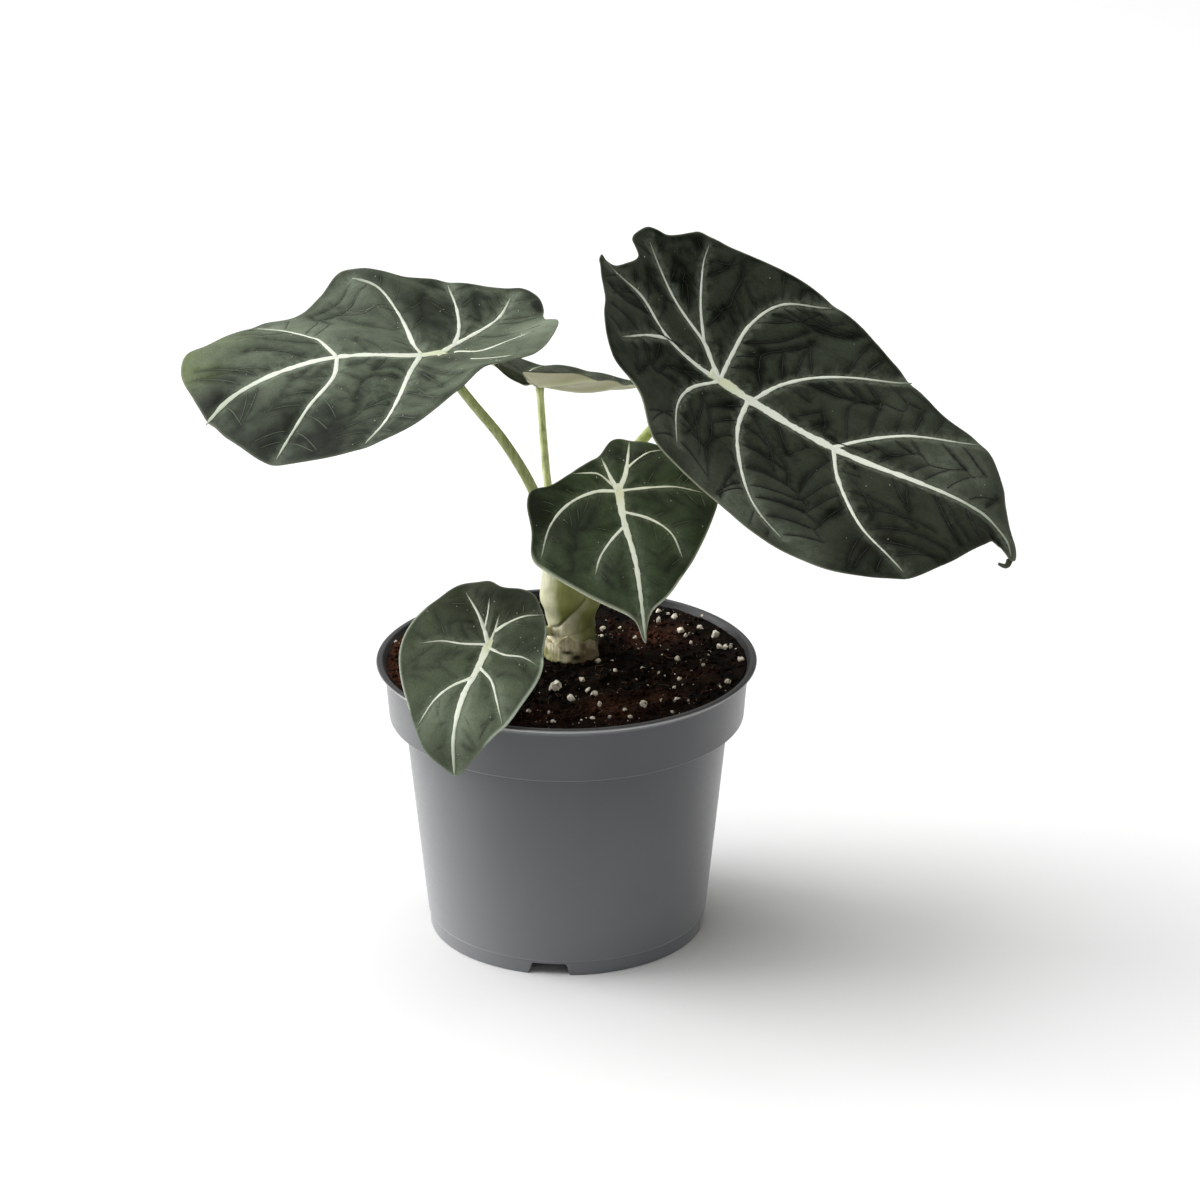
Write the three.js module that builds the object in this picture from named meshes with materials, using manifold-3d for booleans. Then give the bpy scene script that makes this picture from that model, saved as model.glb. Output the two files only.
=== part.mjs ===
// Alocasia 'Black Velvet' growing in a round nursery pot.
//
// Millimetres, +Z up. The origin is the middle of the whole plant's plan, on the surface that the pot
// stands on, and the pot's axis stands at POT_X, POT_Y. All other places are given from that axis.
// The pot is filled with soil, and one short rootstock stands in a plain hole in the soil. Five leaf
// stalks stand in sockets in the top and side of the rootstock, and each carries one blade.
//
// Every blade is built the same way. Its own frame starts where the stalk meets it: u runs along the
// midrib to the tip, v runs across to the left, and w stands up from the upper face. The margin is a
// closed spline of [u, v, w] points, and a second spline gives the height of the midrib along u. A
// point at the share s of the way from the stalk to the margin has the height
//   w = midrib(u) + s^LIFT_POWER * margin_w - the sink of the nearest vein,
// so the blade arches, folds and waves, and its veins lie in shallow valleys.

import * as THREE from 'three';
import Module from 'manifold-3d';
import { mergeVertices } from 'three/addons/utils/BufferGeometryUtils.js';

const wasm = await Module();
wasm.setup();

// ---- driving dimensions -------------------------------------------------------------------------
const GAP = 0.3; // clearance between two pieces that touch on the real plant
const POT_X = -10.3;
const POT_Y = 5.7;

const RIM_R = 60; // outer radius of the pot's lip
const POT_H = 90;
const LIP_H = 1.1; // height of the lip's outer face
const COLLAR_TOP_R = 57.3; // the collar just under the lip
const COLLAR_FOOT_R = 56.1;
const COLLAR_Z = 71.3; // the lower edge of the collar
const BODY_TOP_R = 51.3; // the body just under the collar
const BODY_FOOT_R = 44.7; // the body just above the step line
const STEP_Z = 5.2; // the small step above the foot
const FOOT_R = 44.1;
const FOOT_RING = 3.2; // width of the ring that the pot stands on
const WALL = 1.3;
const FLOOR_Z = 3.6; // underside of the floor
const FLOOR_T = 1.4;
const POT_SEGMENTS = 56;

const NOTCHES = 4; // drain notches through the foot ring
const NOTCH_BEARING = 262.3; // degrees, the first notch
const NOTCH_TOP = 11.4; // its width at the top
const NOTCH_FOOT = 13.2; // its width at the foot
const NOTCH_H = 3.9;

const SOIL_R = COLLAR_TOP_R - WALL + GAP; // the soil's upper edge
const SOIL_EDGE_Z = 88.2; // where the soil meets the wall
const SOIL_MID_Z = 87.4;
const SOIL_LUMP = 0.7; // half height of the lumps in the soil
const SOIL_SEGMENTS = 44;

const STEM_X = 1.5;
const STEM_Y = 8;
const STEM_FOOT_Z = 74; // the end of the rootstock, in the soil
const STEM_PROFILE = [ // [radius, height above the pot's foot]
  [6.6, 74], [7.7, 79], [8.2, 87], [7.5, 97], [8.1, 102], [9.6, 106.5], [9.5, 113], [9.0, 119], [7.6, 124.5],
  [4.4, 128],
];
const STEM_SIDES = 22;
const SHEATH_T = 0.7; // the dry sheath wrapped round the foot of the rootstock

const STALK_SIDES = 9;
const STALK_STEPS = 13;

const BLADE_T = 0.8;
const LIFT_POWER = 1.6;
const VEIN_SINK = 0.9;
const VEIN_SPREAD = 3.2; // half width of the valley along a vein

// ---- the five leaves ----------------------------------------------------------------------------
// place: where the stalk meets the blade. heading, pitch: the way the midrib points, in degrees
// anticlockwise from +X and up from level. roll: the turn about the midrib that lifts the left half.
const LEAVES = [
  {
    name: 'left', place: [-39, -8, 193], heading: 213, pitch: 5, roll: -15, rings: 9,
    color: 0x4f5b4d,
    midrib: [[-46, 4], [-20, 0], [0, 0], [25, 1], [50, -3], [70, -12], [78, -18]],
    margin: [
      [-40.5, -6, 3], [-43.2, -10, 2], [-44.7, -14.1, 2], [-45.1, -18.7, 2], [-42.5, -23, 2.5],
      [-35.5, -25.5, 3], [-22, -34.5, 4], [-9.5, -38, 5], [5.5, -41.5, 7], [11.5, -44, 4], [16, -45, -5],
      [24.5, -41.5, -9], [42, -38, -7], [60, -33, -3], [69, -30.5, 0], [73, -25, 0], [75, -12, 0],
      [75.5, -2.5, 0], [73.5, 14.5, -1], [69, 25.5, -3], [58, 34.5, -3], [48.5, 42, 0], [34, 43, 4],
      [17, 37.5, 10], [6, 33, 15], [-5.5, 30.5, 15], [-22, 21.5, 12], [-32.5, 12.1, 10], [-37.4, 6, 9],
      [-38, 2, 7], [-38.3, -1.3, 5],
    ],
    veins: [
      [[-4, -1.5], [11, -0.5], [33, -4], [54, -5], [66, -4.5], [76, -1]],
      [[5, -1], [3, -13], [2, -24], [3, -33], [9, -40]],
      [[33, -4], [33.5, -14], [36, -26], [42, -36]],
      [[6, 0], [14, 8], [27, 23], [37, 33], [47, 40]],
      [[33, -4], [39, 5], [53, 15], [67, 26]],
      [[0, 0], [-9, -5], [-17, -8.5], [-30, -14], [-38, -21]],
      [[-9, -5], [-14, -11], [-19, -21], [-22, -33]],
    ],
    stalk: {
      foot: [-3.2, 6.6, 117],
      path: [[-6, 5, 131], [-10.7, 2, 146], [-19.4, -2, 162.8], [-29.3, -5.5, 177]],
    },
    stalkR: [1.85, 1.4], stalkColor: 0x7f8a4c,
  },
  {
    name: 'right', place: [47, -16, 187], heading: -13, pitch: -29, roll: 25, rings: 9,
    color: 0x2b2f29,
    midrib: [[-50, 22], [-25, 8], [0, 0], [40, 0], [80, 7], [100, 4], [106, 1]],
    margin: [
      [-49.6, -5.8, 2], [-48.4, -8, 3], [-46.2, -11.9, 4], [-42, -16.9, 5], [-39.5, -22.5, 6],
      [-30.5, -34.5, 10], [-18, -38.5, 12], [-8, -47.5, 12], [3, -48, 9], [19.5, -48.5, 6],
      [39.5, -51, 4], [59, -48.5, 3], [77, -39, 2], [85.5, -27, 3], [90.9, -14, 1.5], [93.8, -7.8, 1],
      [95.7, -4.2, 0.5], [98.5, -3.3, 0], [101.5, -3.2, 0], [103.9, -2.9, 0], [104.8, -1.6, 0],
      [104.4, 0, 0], [103.2, 1.6, 0], [100.5, 4.4, -0.5], [97.8, 7.8, -1], [94.2, 13.6, -1.5],
      [90.9, 19.4, -2], [80, 27, 0], [64, 30, 2], [43.5, 41, 3], [24, 51, 2], [1.5, 51.5, 3],
      [-18.5, 44.5, 1], [-29, 36.5, 3], [-31.4, 33.7, 2], [-34.1, 29.6, 1], [-37, 25.8, 0.5],
      [-40.5, 23.9, 0], [-42.9, 21.7, 0], [-44.3, 18.2, 0], [-44.9, 13, 0], [-42.4, 12.1, 0],
      [-40.8, 11.1, 0], [-40.6, 9, 0], [-42.2, 4.5, 0], [-44.6, 0.1, 0], [-47.5, -2.4, 1],
      [-49.6, -3.7, 2],
    ],
    veins: [
      [[-4, 0], [12, 0.5], [37, 0.5], [66, 2], [83, 5], [94, 5], [103, -2]],
      [[0, 0], [-1, 12], [-1, 26], [4, 40], [18, 51]],
      [[11.5, 1], [17, 13], [28, 25], [51, 37.5]],
      [[40, 1], [47, 10], [57, 18], [78, 27]],
      [[0, 0], [-6, -11], [-7, -23], [-1, -38]],
      [[10.5, 0], [12, -12], [18, -25], [28, -38], [40, -45]],
      [[40, 1], [46, -11], [58, -25], [76, -36]],
      [[0, 0], [-10, -1.5], [-20, -2], [-33, 1.5], [-47, -3.5]],
      [[-20, -2], [-26, -10], [-31.5, -21]],
      [[0, 0], [-6, 5], [-10, 8], [-25, 12], [-40, 19]],
      [[-10, 8], [-17, 18], [-23, 30], [-24.5, 37]],
    ],
    stalk: {
      foot: [5.8, 8.4, 117],
      path: [[9, 8.2, 131], [15.4, 6.4, 147], [24.5, 3, 162], [36, -6, 176]],
    },
    stalkR: [1.9, 1.5], stalkColor: 0x97a653,
  },
  {
    name: 'middle', place: [16, -24, 154.5], heading: -79, pitch: -33, roll: 0, rings: 7,
    color: 0x323b2f,
    midrib: [[-25, -6], [-10, -1], [0, 0], [20, 1], [45, -2], [54, -4]],
    margin: [
      [-23, 2.5, 0], [-16, -3, 0], [-7, -13, 2], [-1, -21.5, 3], [0.5, -27.5, 3], [5.5, -29.5, 3],
      [15, -29.5, 1], [24, -30.5, 0], [29, -27, 0], [36, -19, 0], [41.5, -11, 0], [45.5, -4.5, 0],
      [47.5, -2.5, 0], [53.5, -1, 0], [54, -0.5, 0], [49.5, 0.5, 0], [45, 2.5, 0], [40.5, 8, 0],
      [33, 14.5, 0], [25, 20.5, 0], [14.5, 26.5, 0], [6, 30, 0], [-3, 30, 0], [-12.5, 25, 0],
      [-19.5, 15.5, 0], [-22.5, 10, 0], [-24, 5.5, 0],
    ],
    veins: [
      [[-3, 0.5], [12, -0.5], [27, 0.5], [43, 0], [53, -0.5]],
      [[0, 0], [0, -7], [4, -15.5], [12, -23], [24, -28]],
      [[14, -0.5], [19, -5.5], [25, -10], [31, -12.5]],
      [[0, 0], [-0.5, 11], [0, 18], [3, 26]],
      [[8.5, 0], [12, 7.5], [18, 13], [27, 15]],
      [[0, 0], [-6, -1.5], [-15, -2.5]],
      [[0, 0], [-5.5, 3], [-10, 4.5], [-22.5, 8]],
    ],
    stalk: { foot: [3.4, 4.2, 117], path: [[4.6, 1.2, 130], [7.6, -6.5, 140], [11.8, -15.5, 148]] },
    stalkR: [1.5, 1.2], stalkColor: 0x8c9a50,
  },
  {
    name: 'low', place: [-24, -37, 109.5], heading: -110, pitch: -36, roll: 0, rings: 7,
    color: 0x48543f,
    midrib: [[-24, -3], [-10, 0], [0, 0], [20, 1], [35, -3], [44, -7]],
    margin: [
      [-21, -16, 0], [-13.5, -21, 0], [-3, -26.5, 0], [5.5, -27, 0], [15, -24, 0], [27, -17.5, 0],
      [38, -10, 0], [41.5, -4, 0], [43, 1.5, 0], [39, 5.5, 0], [31, 11, 0], [22.5, 16.5, 0], [10, 20, 0],
      [-0.3, 18.1, 0], [-7.9, 16.7, 0], [-12.1, 14.6, 0], [-16.6, 11.7, 0], [-20.5, 8.7, 0],
      [-22.4, 4, 0], [-22.2, -2.5, 0], [-24, -7.5, 0], [-23, -11, 0],
    ],
    veins: [
      [[-2, 0], [10, -0.5], [20, -2], [32, -2], [43, 0.5]],
      [[0, 0], [1, -8], [1, -15], [3, -22]],
      [[13, -1], [17, -6.5], [23, -11], [31, -14]],
      [[1, 0], [3, 6], [3, 12], [5, 17]],
      [[9, 0], [13, 5], [19, 8.5], [27, 12.5]],
      [[0, 0], [-6, -3.5], [-11, -7], [-18.5, -13.5]],
      [[-5, 0.5], [-9, 4.5], [-12, 8.5], [-13.5, 14]],
    ],
    stalk: { foot: [-3.6, 6, 96.5], path: [[-9, 0.5, 98], [-15, -11, 100.5], [-20, -24, 103.8]] },
    stalkR: [1.4, 1.2], stalkColor: 0x8c9a50,
  },
  {
    name: 'back', place: [-8, 22, 174.4], heading: 25, pitch: -12, roll: -8, rings: 7,
    color: 0x3a4136,
    midrib: [[-20, 3], [-8, 0.5], [0, 0], [12, -0.5], [25, 1.8], [38, 4]],
    margin: [
      [-4.5, -2, -1.2], [-7, -5.5, -0.8], [-10, -10, 0], [-14, -15.5, 2.2], [-10.5, -18.5, 3.6],
      [-3, -19.8, 4.9], [5, -19.2, 5.4], [15, -16.5, 3.9], [25, -11, 0.5], [32, -5, -1.5], [38, 0, -2.3],
      [32, 5, -1.1], [24, 12, 1.6], [14, 18, 3.9], [4, 21, 4.3], [-8, 21, 5.3], [-17, 18, 4.6],
      [-21, 14, 4.1], [-19, 9, 4], [-14, 6.2, 1.5], [-9, 3.6, -1], [-5, 1.5, -1.8],
    ],
    veins: [
      [[-1, 0], [10, 0], [20, 0], [36, 0]],
      [[0, 0], [0, -8], [5, -15], [10, -18]],
      [[0, 0], [0, 8], [5, 16], [10, 19]],
      [[10, 0], [14, -6], [22, -11]],
      [[10, 0], [14, 6], [22, 11]],
    ],
    stalk: { foot: [-1.8, 11.6, 117], path: [[-3.4, 13.2, 130], [-5.7, 15.6, 142], [-7, 18.5, 156]] },
    stalkR: [1.4, 1.15], stalkColor: 0x8f9c52,
  },
];

// ---- small helpers ------------------------------------------------------------------------------
const rad = THREE.MathUtils.degToRad;
const vec = (p) => new THREE.Vector3(...p);

/** A smooth height through [x, y] points, with straight ends: cubic pieces with centred slopes. */
function curveThrough(points) {
  const last = points.length - 1;
  const slope = points.map((_, i) => {
    const a = points[Math.max(i - 1, 0)];
    const b = points[Math.min(i + 1, last)];
    return (b[1] - a[1]) / (b[0] - a[0]);
  });
  return (x) => {
    if (x <= points[0][0]) return points[0][1] + (x - points[0][0]) * slope[0];
    if (x >= points[last][0]) return points[last][1] + (x - points[last][0]) * slope[last];
    const i = points.findIndex((p) => p[0] > x) - 1;
    const [[x0, y0], [x1, y1]] = [points[i], points[i + 1]];
    const w = x1 - x0;
    const t = (x - x0) / w;
    const rise = t * t * (3 - 2 * t);
    return y0 + (y1 - y0) * rise + w * t * (1 - t) * ((1 - t) * slope[i] - t * slope[i + 1]);
  };
}

/** The distance from [u, v] to a chain of short straight pieces. */
function distanceToChain(u, v, chain) {
  let best = Infinity;
  for (let i = 0; i + 1 < chain.length; i += 1) {
    const [[au, av], [bu, bv]] = [chain[i], chain[i + 1]];
    const du = bu - au;
    const dv = bv - av;
    const t = THREE.MathUtils.clamp(((u - au) * du + (v - av) * dv) / (du * du + dv * dv), 0, 1);
    best = Math.min(best, Math.hypot(u - au - t * du, v - av - t * dv));
  }
  return best;
}

/** A geometry with shared vertices, from rows of points and triangles. */
function geometryFrom(points, triangles) {
  const geometry = new THREE.BufferGeometry();
  const numbers = points.flatMap((p) => p.toArray());
  geometry.setAttribute('position', new THREE.Float32BufferAttribute(numbers, 3));
  geometry.setIndex(triangles.flat());
  return geometry;
}

/** A manifold-3d solid of a closed three.js geometry. */
function solidOf(geometry) {
  const bare = geometry.clone();
  bare.deleteAttribute('normal');
  bare.deleteAttribute('uv');
  const merged = mergeVertices(bare, 1e-4);
  return new wasm.Manifold(new wasm.Mesh({
    numProp: 3,
    vertProperties: new Float32Array(merged.attributes.position.array),
    triVerts: new Uint32Array(merged.index.array),
  }));
}

/** The three.js geometry of a manifold-3d solid. */
function geometryOf(solid) {
  const mesh = solid.getMesh();
  const geometry = new THREE.BufferGeometry();
  geometry.setAttribute('position', new THREE.BufferAttribute(new Float32Array(mesh.vertProperties), 3));
  geometry.setIndex(new THREE.BufferAttribute(new Uint32Array(mesh.triVerts), 1));
  return geometry;
}

/** A body of revolution about Z from [radius, height] points. */
function turned(profile, sides) {
  const lathe = new THREE.LatheGeometry(profile.map(([r, z]) => new THREE.Vector2(r, z)), sides);
  return lathe.rotateX(Math.PI / 2);
}

/** A round rod of changing radius along a curve, closed by a cap at each end. */
function rod(curve, radiusAt, sides, steps) {
  const frames = curve.computeFrenetFrames(steps, false);
  const points = [];
  const triangles = [];
  for (let i = 0; i <= steps; i += 1) {
    const centre = curve.getPointAt(i / steps);
    for (let k = 0; k < sides; k += 1) {
      const a = (2 * Math.PI * k) / sides;
      const spoke = frames.normals[i].clone().multiplyScalar(Math.cos(a));
      spoke.addScaledVector(frames.binormals[i], Math.sin(a));
      points.push(centre.clone().addScaledVector(spoke, radiusAt(i / steps)));
      if (i < steps) {
        const [p, q] = [i * sides + k, i * sides + ((k + 1) % sides)];
        triangles.push([p, q, q + sides], [p, q + sides, p + sides]);
      }
    }
  }
  const foot = points.push(curve.getPointAt(0)) - 1;
  const top = points.push(curve.getPointAt(1)) - 1;
  for (let k = 0; k < sides; k += 1) {
    const next = (k + 1) % sides;
    triangles.push([foot, next, k], [top, steps * sides + k, steps * sides + next]);
  }
  return geometryFrom(points, triangles);
}

/** A named mesh in its own plain material. */
function piece(name, geometry, color, roughness = 0.6, metalness = 0) {
  const mesh = new THREE.Mesh(geometry, new THREE.MeshStandardMaterial({ color, roughness, metalness }));
  mesh.name = name;
  return mesh;
}

// ---- pot ----------------------------------------------------------------------------------------
const LIP_R = COLLAR_TOP_R + 0.7; // the inner edge of the lip's top face
const SHOULDER_Z = COLLAR_Z + 1.2;

/** The half section of the pot, from the axis under the floor, round the outside and back inside. */
const potProfile = [
  [0, FLOOR_Z], [FOOT_R - FOOT_RING, FLOOR_Z], [FOOT_R - FOOT_RING, 0], [FOOT_R, 0],
  [FOOT_R + 0.05, STEP_Z - 0.6], [BODY_FOOT_R, STEP_Z], [BODY_TOP_R, COLLAR_Z], [COLLAR_FOOT_R, COLLAR_Z],
  [COLLAR_TOP_R, POT_H - LIP_H - 1.6], [RIM_R - 0.6, POT_H - LIP_H], [RIM_R, POT_H - LIP_H + 0.5],
  [RIM_R, POT_H - 0.4], [RIM_R - 0.5, POT_H], [LIP_R, POT_H], [LIP_R - 0.5, POT_H - LIP_H],
  [COLLAR_TOP_R - WALL, POT_H - LIP_H - 2.2], [COLLAR_FOOT_R - WALL, SHOULDER_Z],
  [BODY_TOP_R - WALL, SHOULDER_Z], [BODY_FOOT_R - WALL, FLOOR_Z + FLOOR_T], [0, FLOOR_Z + FLOOR_T],
];

/** The cutter for one drain notch: a wedge with a narrow top, laid through the foot ring. */
function notchCutter(bearing) {
  const shape = new THREE.Shape();
  shape.moveTo(-NOTCH_FOOT / 2, -1);
  shape.lineTo(NOTCH_FOOT / 2, -1);
  shape.lineTo(NOTCH_FOOT / 2, 0);
  shape.lineTo(NOTCH_TOP / 2, NOTCH_H - 0.8);
  shape.lineTo(NOTCH_TOP / 2 - 0.8, NOTCH_H);
  shape.lineTo(-NOTCH_TOP / 2 + 0.8, NOTCH_H);
  shape.lineTo(-NOTCH_TOP / 2, NOTCH_H - 0.8);
  shape.lineTo(-NOTCH_FOOT / 2, 0);
  const cutter = new THREE.ExtrudeGeometry(shape, { depth: FOOT_RING + 1.6, bevelEnabled: false });
  cutter.rotateX(Math.PI / 2); // the outline stands up, and the depth runs to -Y
  cutter.translate(0, -(FOOT_R - FOOT_RING - 0.6), 0);
  return cutter.rotateZ(rad(bearing + 90));
}

let potSolid = solidOf(turned(potProfile, POT_SEGMENTS));
for (let i = 0; i < NOTCHES; i += 1) {
  potSolid = potSolid.subtract(solidOf(notchCutter(NOTCH_BEARING + (360 / NOTCHES) * i)));
}

// ---- rootstock and dry sheath -------------------------------------------------------------------
const stemProfile = [[0, STEM_FOOT_Z], ...STEM_PROFILE, [0, STEM_PROFILE.at(-1)[1] + 1]];
const stemShape = turned(stemProfile, STEM_SIDES).translate(STEM_X, STEM_Y, 0);

/** The radius of the rootstock at a height. */
const stemRadius = curveThrough(STEM_PROFILE.map(([r, z]) => [z, r]));

// The dry sheath is a thin collar round the front and left of the rootstock, with a ragged top edge.
const SHEATH_FROM = rad(165);
const SHEATH_TO = rad(352);
const SHEATH_FOOT_Z = 89.4;
const SHEATH_STEPS = 22;
const sheathTop = (a) => 95.2 + 1.6 * Math.sin(3 * a) + 1.1 * Math.sin(7 * a + 1);

function sheathGeometry() {
  const points = [];
  const triangles = [];
  for (let i = 0; i <= SHEATH_STEPS; i += 1) {
    const a = SHEATH_FROM + ((SHEATH_TO - SHEATH_FROM) * i) / SHEATH_STEPS;
    const top = sheathTop(a);
    const ring = [[SHEATH_FOOT_Z, 0], [SHEATH_FOOT_Z, 1], [top, 1], [top, 0]];
    for (const [z, side] of ring) {
      const r = stemRadius(z) + GAP + SHEATH_T * side;
      points.push(new THREE.Vector3(STEM_X + r * Math.cos(a), STEM_Y + r * Math.sin(a), z));
    }
    if (i < SHEATH_STEPS) {
      for (let k = 0; k < 4; k += 1) {
        const [p, q] = [4 * i + k, 4 * i + ((k + 1) % 4)];
        triangles.push([p, p + 4, q + 4], [p, q + 4, q]);
      }
    }
  }
  const end = 4 * SHEATH_STEPS;
  triangles.push([0, 1, 2], [0, 2, 3], [end, end + 2, end + 1], [end, end + 3, end + 2]);
  return geometryFrom(points, triangles);
}

// ---- blades and stalks --------------------------------------------------------------------------
/** The axes of a blade: along the midrib, across to the left, and up from the upper face. */
function bladeAxes({ heading, pitch, roll }) {
  const [a, p, r] = [rad(heading), rad(pitch), rad(roll)];
  const along = new THREE.Vector3(Math.cos(a) * Math.cos(p), Math.sin(a) * Math.cos(p), Math.sin(p));
  const level = new THREE.Vector3(-Math.sin(a), Math.cos(a), 0);
  const up = along.clone().cross(level);
  const across = level.multiplyScalar(Math.cos(r)).addScaledVector(up, Math.sin(r));
  return { along, across, up: along.clone().cross(across) };
}

/** The closed blade: an upper face on rings round the stalk, and a lower face BLADE_T under it. */
function bladeGeometry(leaf) {
  const { along, across, up } = bladeAxes(leaf);
  const midrib = curveThrough(leaf.midrib);
  const spokes = leaf.margin.length * 2;
  const margin = new THREE.CatmullRomCurve3(leaf.margin.map(vec), true, 'centripetal');
  const surface = (share, rim) => {
    const [u, v] = [share * rim.x, share * rim.y];
    const nearest = Math.min(...leaf.veins.map((vein) => distanceToChain(u, v, vein)));
    const sink = VEIN_SINK * Math.exp(-((nearest / VEIN_SPREAD) ** 2));
    const w = midrib(u) + share ** LIFT_POWER * rim.z - sink;
    return vec(leaf.place).addScaledVector(along, u).addScaledVector(across, v).addScaledVector(up, w);
  };
  const top = [surface(0, new THREE.Vector3())];
  const faces = [];
  for (let i = 1; i <= leaf.rings; i += 1) {
    for (let k = 0; k < spokes; k += 1) {
      top.push(surface(i / leaf.rings, margin.getPoint(k / spokes)));
      const next = (k + 1) % spokes;
      const [p, q] = [1 + (i - 1) * spokes + k, 1 + (i - 1) * spokes + next];
      if (i === 1) faces.push([0, p, q]);
      else faces.push([p - spokes, p, q], [p - spokes, q, q - spokes]);
    }
  }
  const upper = geometryFrom(top, faces);
  upper.computeVertexNormals();
  const normals = upper.attributes.normal;
  const under = top.map((p, i) => p.clone().addScaledVector(
    new THREE.Vector3(normals.getX(i), normals.getY(i), normals.getZ(i)), -BLADE_T));
  const shift = top.length;
  const closed = [...faces, ...faces.map(([a, b, c]) => [a + shift, c + shift, b + shift])];
  const rim = 1 + (leaf.rings - 1) * spokes;
  for (let k = 0; k < spokes; k += 1) {
    const [p, q] = [rim + k, rim + ((k + 1) % spokes)];
    closed.push([p, p + shift, q + shift], [p, q + shift, q]);
  }
  return geometryFrom([...top, ...under], closed);
}

/** The line of a stalk: from its socket in the rootstock to GAP under the blade. */
function stalkCurve(leaf) {
  const { up } = bladeAxes(leaf);
  const before = vec(leaf.stalk.path.at(-1));
  const lean = vec(leaf.place).sub(before).normalize().dot(up);
  const capRise = leaf.stalkR[1] * Math.sqrt(1 - lean ** 2); // how far the slanted end stands up
  const end = vec(leaf.place).addScaledVector(up, -(BLADE_T + VEIN_SINK + GAP + capRise));
  return new THREE.CatmullRomCurve3([vec(leaf.stalk.foot), ...leaf.stalk.path.map(vec), end]);
}

const stalkRadius = (leaf) => (t) => THREE.MathUtils.lerp(leaf.stalkR[0], leaf.stalkR[1], t);

/** The cutter for a stalk's socket: the foot of the stalk, GAP wider and GAP longer. */
function socketCutter(leaf) {
  const curve = stalkCurve(leaf);
  const start = curve.getPointAt(0);
  const back = start.clone().addScaledVector(curve.getTangentAt(0), -GAP);
  const points = [back];
  for (let i = 1; i <= 5; i += 1) points.push(curve.getPointAt((i * 0.4) / 5));
  return rod(new THREE.CatmullRomCurve3(points), () => leaf.stalkR[0] + GAP, STALK_SIDES, 8);
}

let stemSolid = solidOf(stemShape);
for (const leaf of LEAVES) stemSolid = stemSolid.subtract(solidOf(socketCutter(leaf)));

// ---- soil ---------------------------------------------------------------------------------------
/** The soil's upper face: hollow in the middle, and lumpy by a few crossed waves. */
function soilHeight(x, y) {
  const r = Math.hypot(x, y) / LIP_R;
  const lumps = Math.sin(0.31 * x + 1.3) * Math.sin(0.27 * y + 0.4) + 0.6 * Math.sin(0.19 * x - 0.42 * y);
  return SOIL_MID_Z + (SOIL_EDGE_Z - SOIL_MID_Z) * r ** 2 + SOIL_LUMP * lumps * (1 - r ** 6);
}

const soilProfile = [
  [0, FLOOR_Z + FLOOR_T + GAP], [BODY_FOOT_R - WALL - 2 * GAP, FLOOR_Z + FLOOR_T + GAP],
  [BODY_TOP_R - WALL - 2 * GAP, SHOULDER_Z + GAP], [COLLAR_FOOT_R - WALL - 2 * GAP, SHOULDER_Z + GAP],
  [COLLAR_TOP_R - WALL - 2 * GAP, POT_H - LIP_H - 2.2],
  ...[SOIL_R, 50, 42, 34, 26, 17, 8, 0].map((r) => [r, SOIL_EDGE_Z]),
];

function soilGeometry() {
  const block = turned(soilProfile, SOIL_SEGMENTS);
  const at = block.attributes.position;
  for (let i = 0; i < at.count; i += 1) {
    if (at.getZ(i) > SOIL_EDGE_Z - 0.01) at.setZ(i, soilHeight(at.getX(i), at.getY(i)));
  }
  const wall = STEM_PROFILE.slice(0, 4).map(([r, z], i) => [r + GAP, i ? z : z - GAP]);
  const hole = [[0, STEM_FOOT_Z - GAP], ...wall, [0, wall.at(-1)[1]]];
  const plug = turned(hole, STEM_SIDES).translate(STEM_X, STEM_Y, 0);
  return geometryOf(solidOf(block).subtract(solidOf(plug)));
}

// ---- assembly -----------------------------------------------------------------------------------
const plant = new THREE.Group();
plant.position.set(POT_X, POT_Y, 0);
plant.add(piece('pot', geometryOf(potSolid), 0x6b6d70, 0.5));
plant.add(piece('soil', soilGeometry(), 0x231812, 0.95));
plant.add(piece('rootstock', geometryOf(stemSolid), 0xa3a673, 0.55));
plant.add(piece('dry_sheath', sheathGeometry(), 0xd6cda8, 0.7));
for (const leaf of LEAVES) {
  const curve = stalkCurve(leaf);
  const stalk = rod(curve, stalkRadius(leaf), STALK_SIDES, STALK_STEPS);
  plant.add(piece(`stalk_${leaf.name}`, stalk, leaf.stalkColor, 0.5));
  plant.add(piece(`blade_${leaf.name}`, bladeGeometry(leaf), leaf.color, 0.65));
}

const model = new THREE.Group();
model.name = 'alocasia_in_pot';
model.add(plant);

export default model;
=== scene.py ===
"""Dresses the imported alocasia: velvet leaves with silver veins on a short rootstock in a nursery pot.

Every form is worked out in millimetres about the pot's axis, +Z up, and goes into Blender in metres in
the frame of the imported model. Each leaf, stalk, the rootstock, its dry sheath, the soil and the pot
takes the place of its CAD node with a finer surface of the same form. Veins, folds, dust, soil crumbs,
white grains and fibres are added on them.
"""

import logging
import math
from dataclasses import dataclass, field
from enum import Enum, IntEnum
from functools import cached_property

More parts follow.
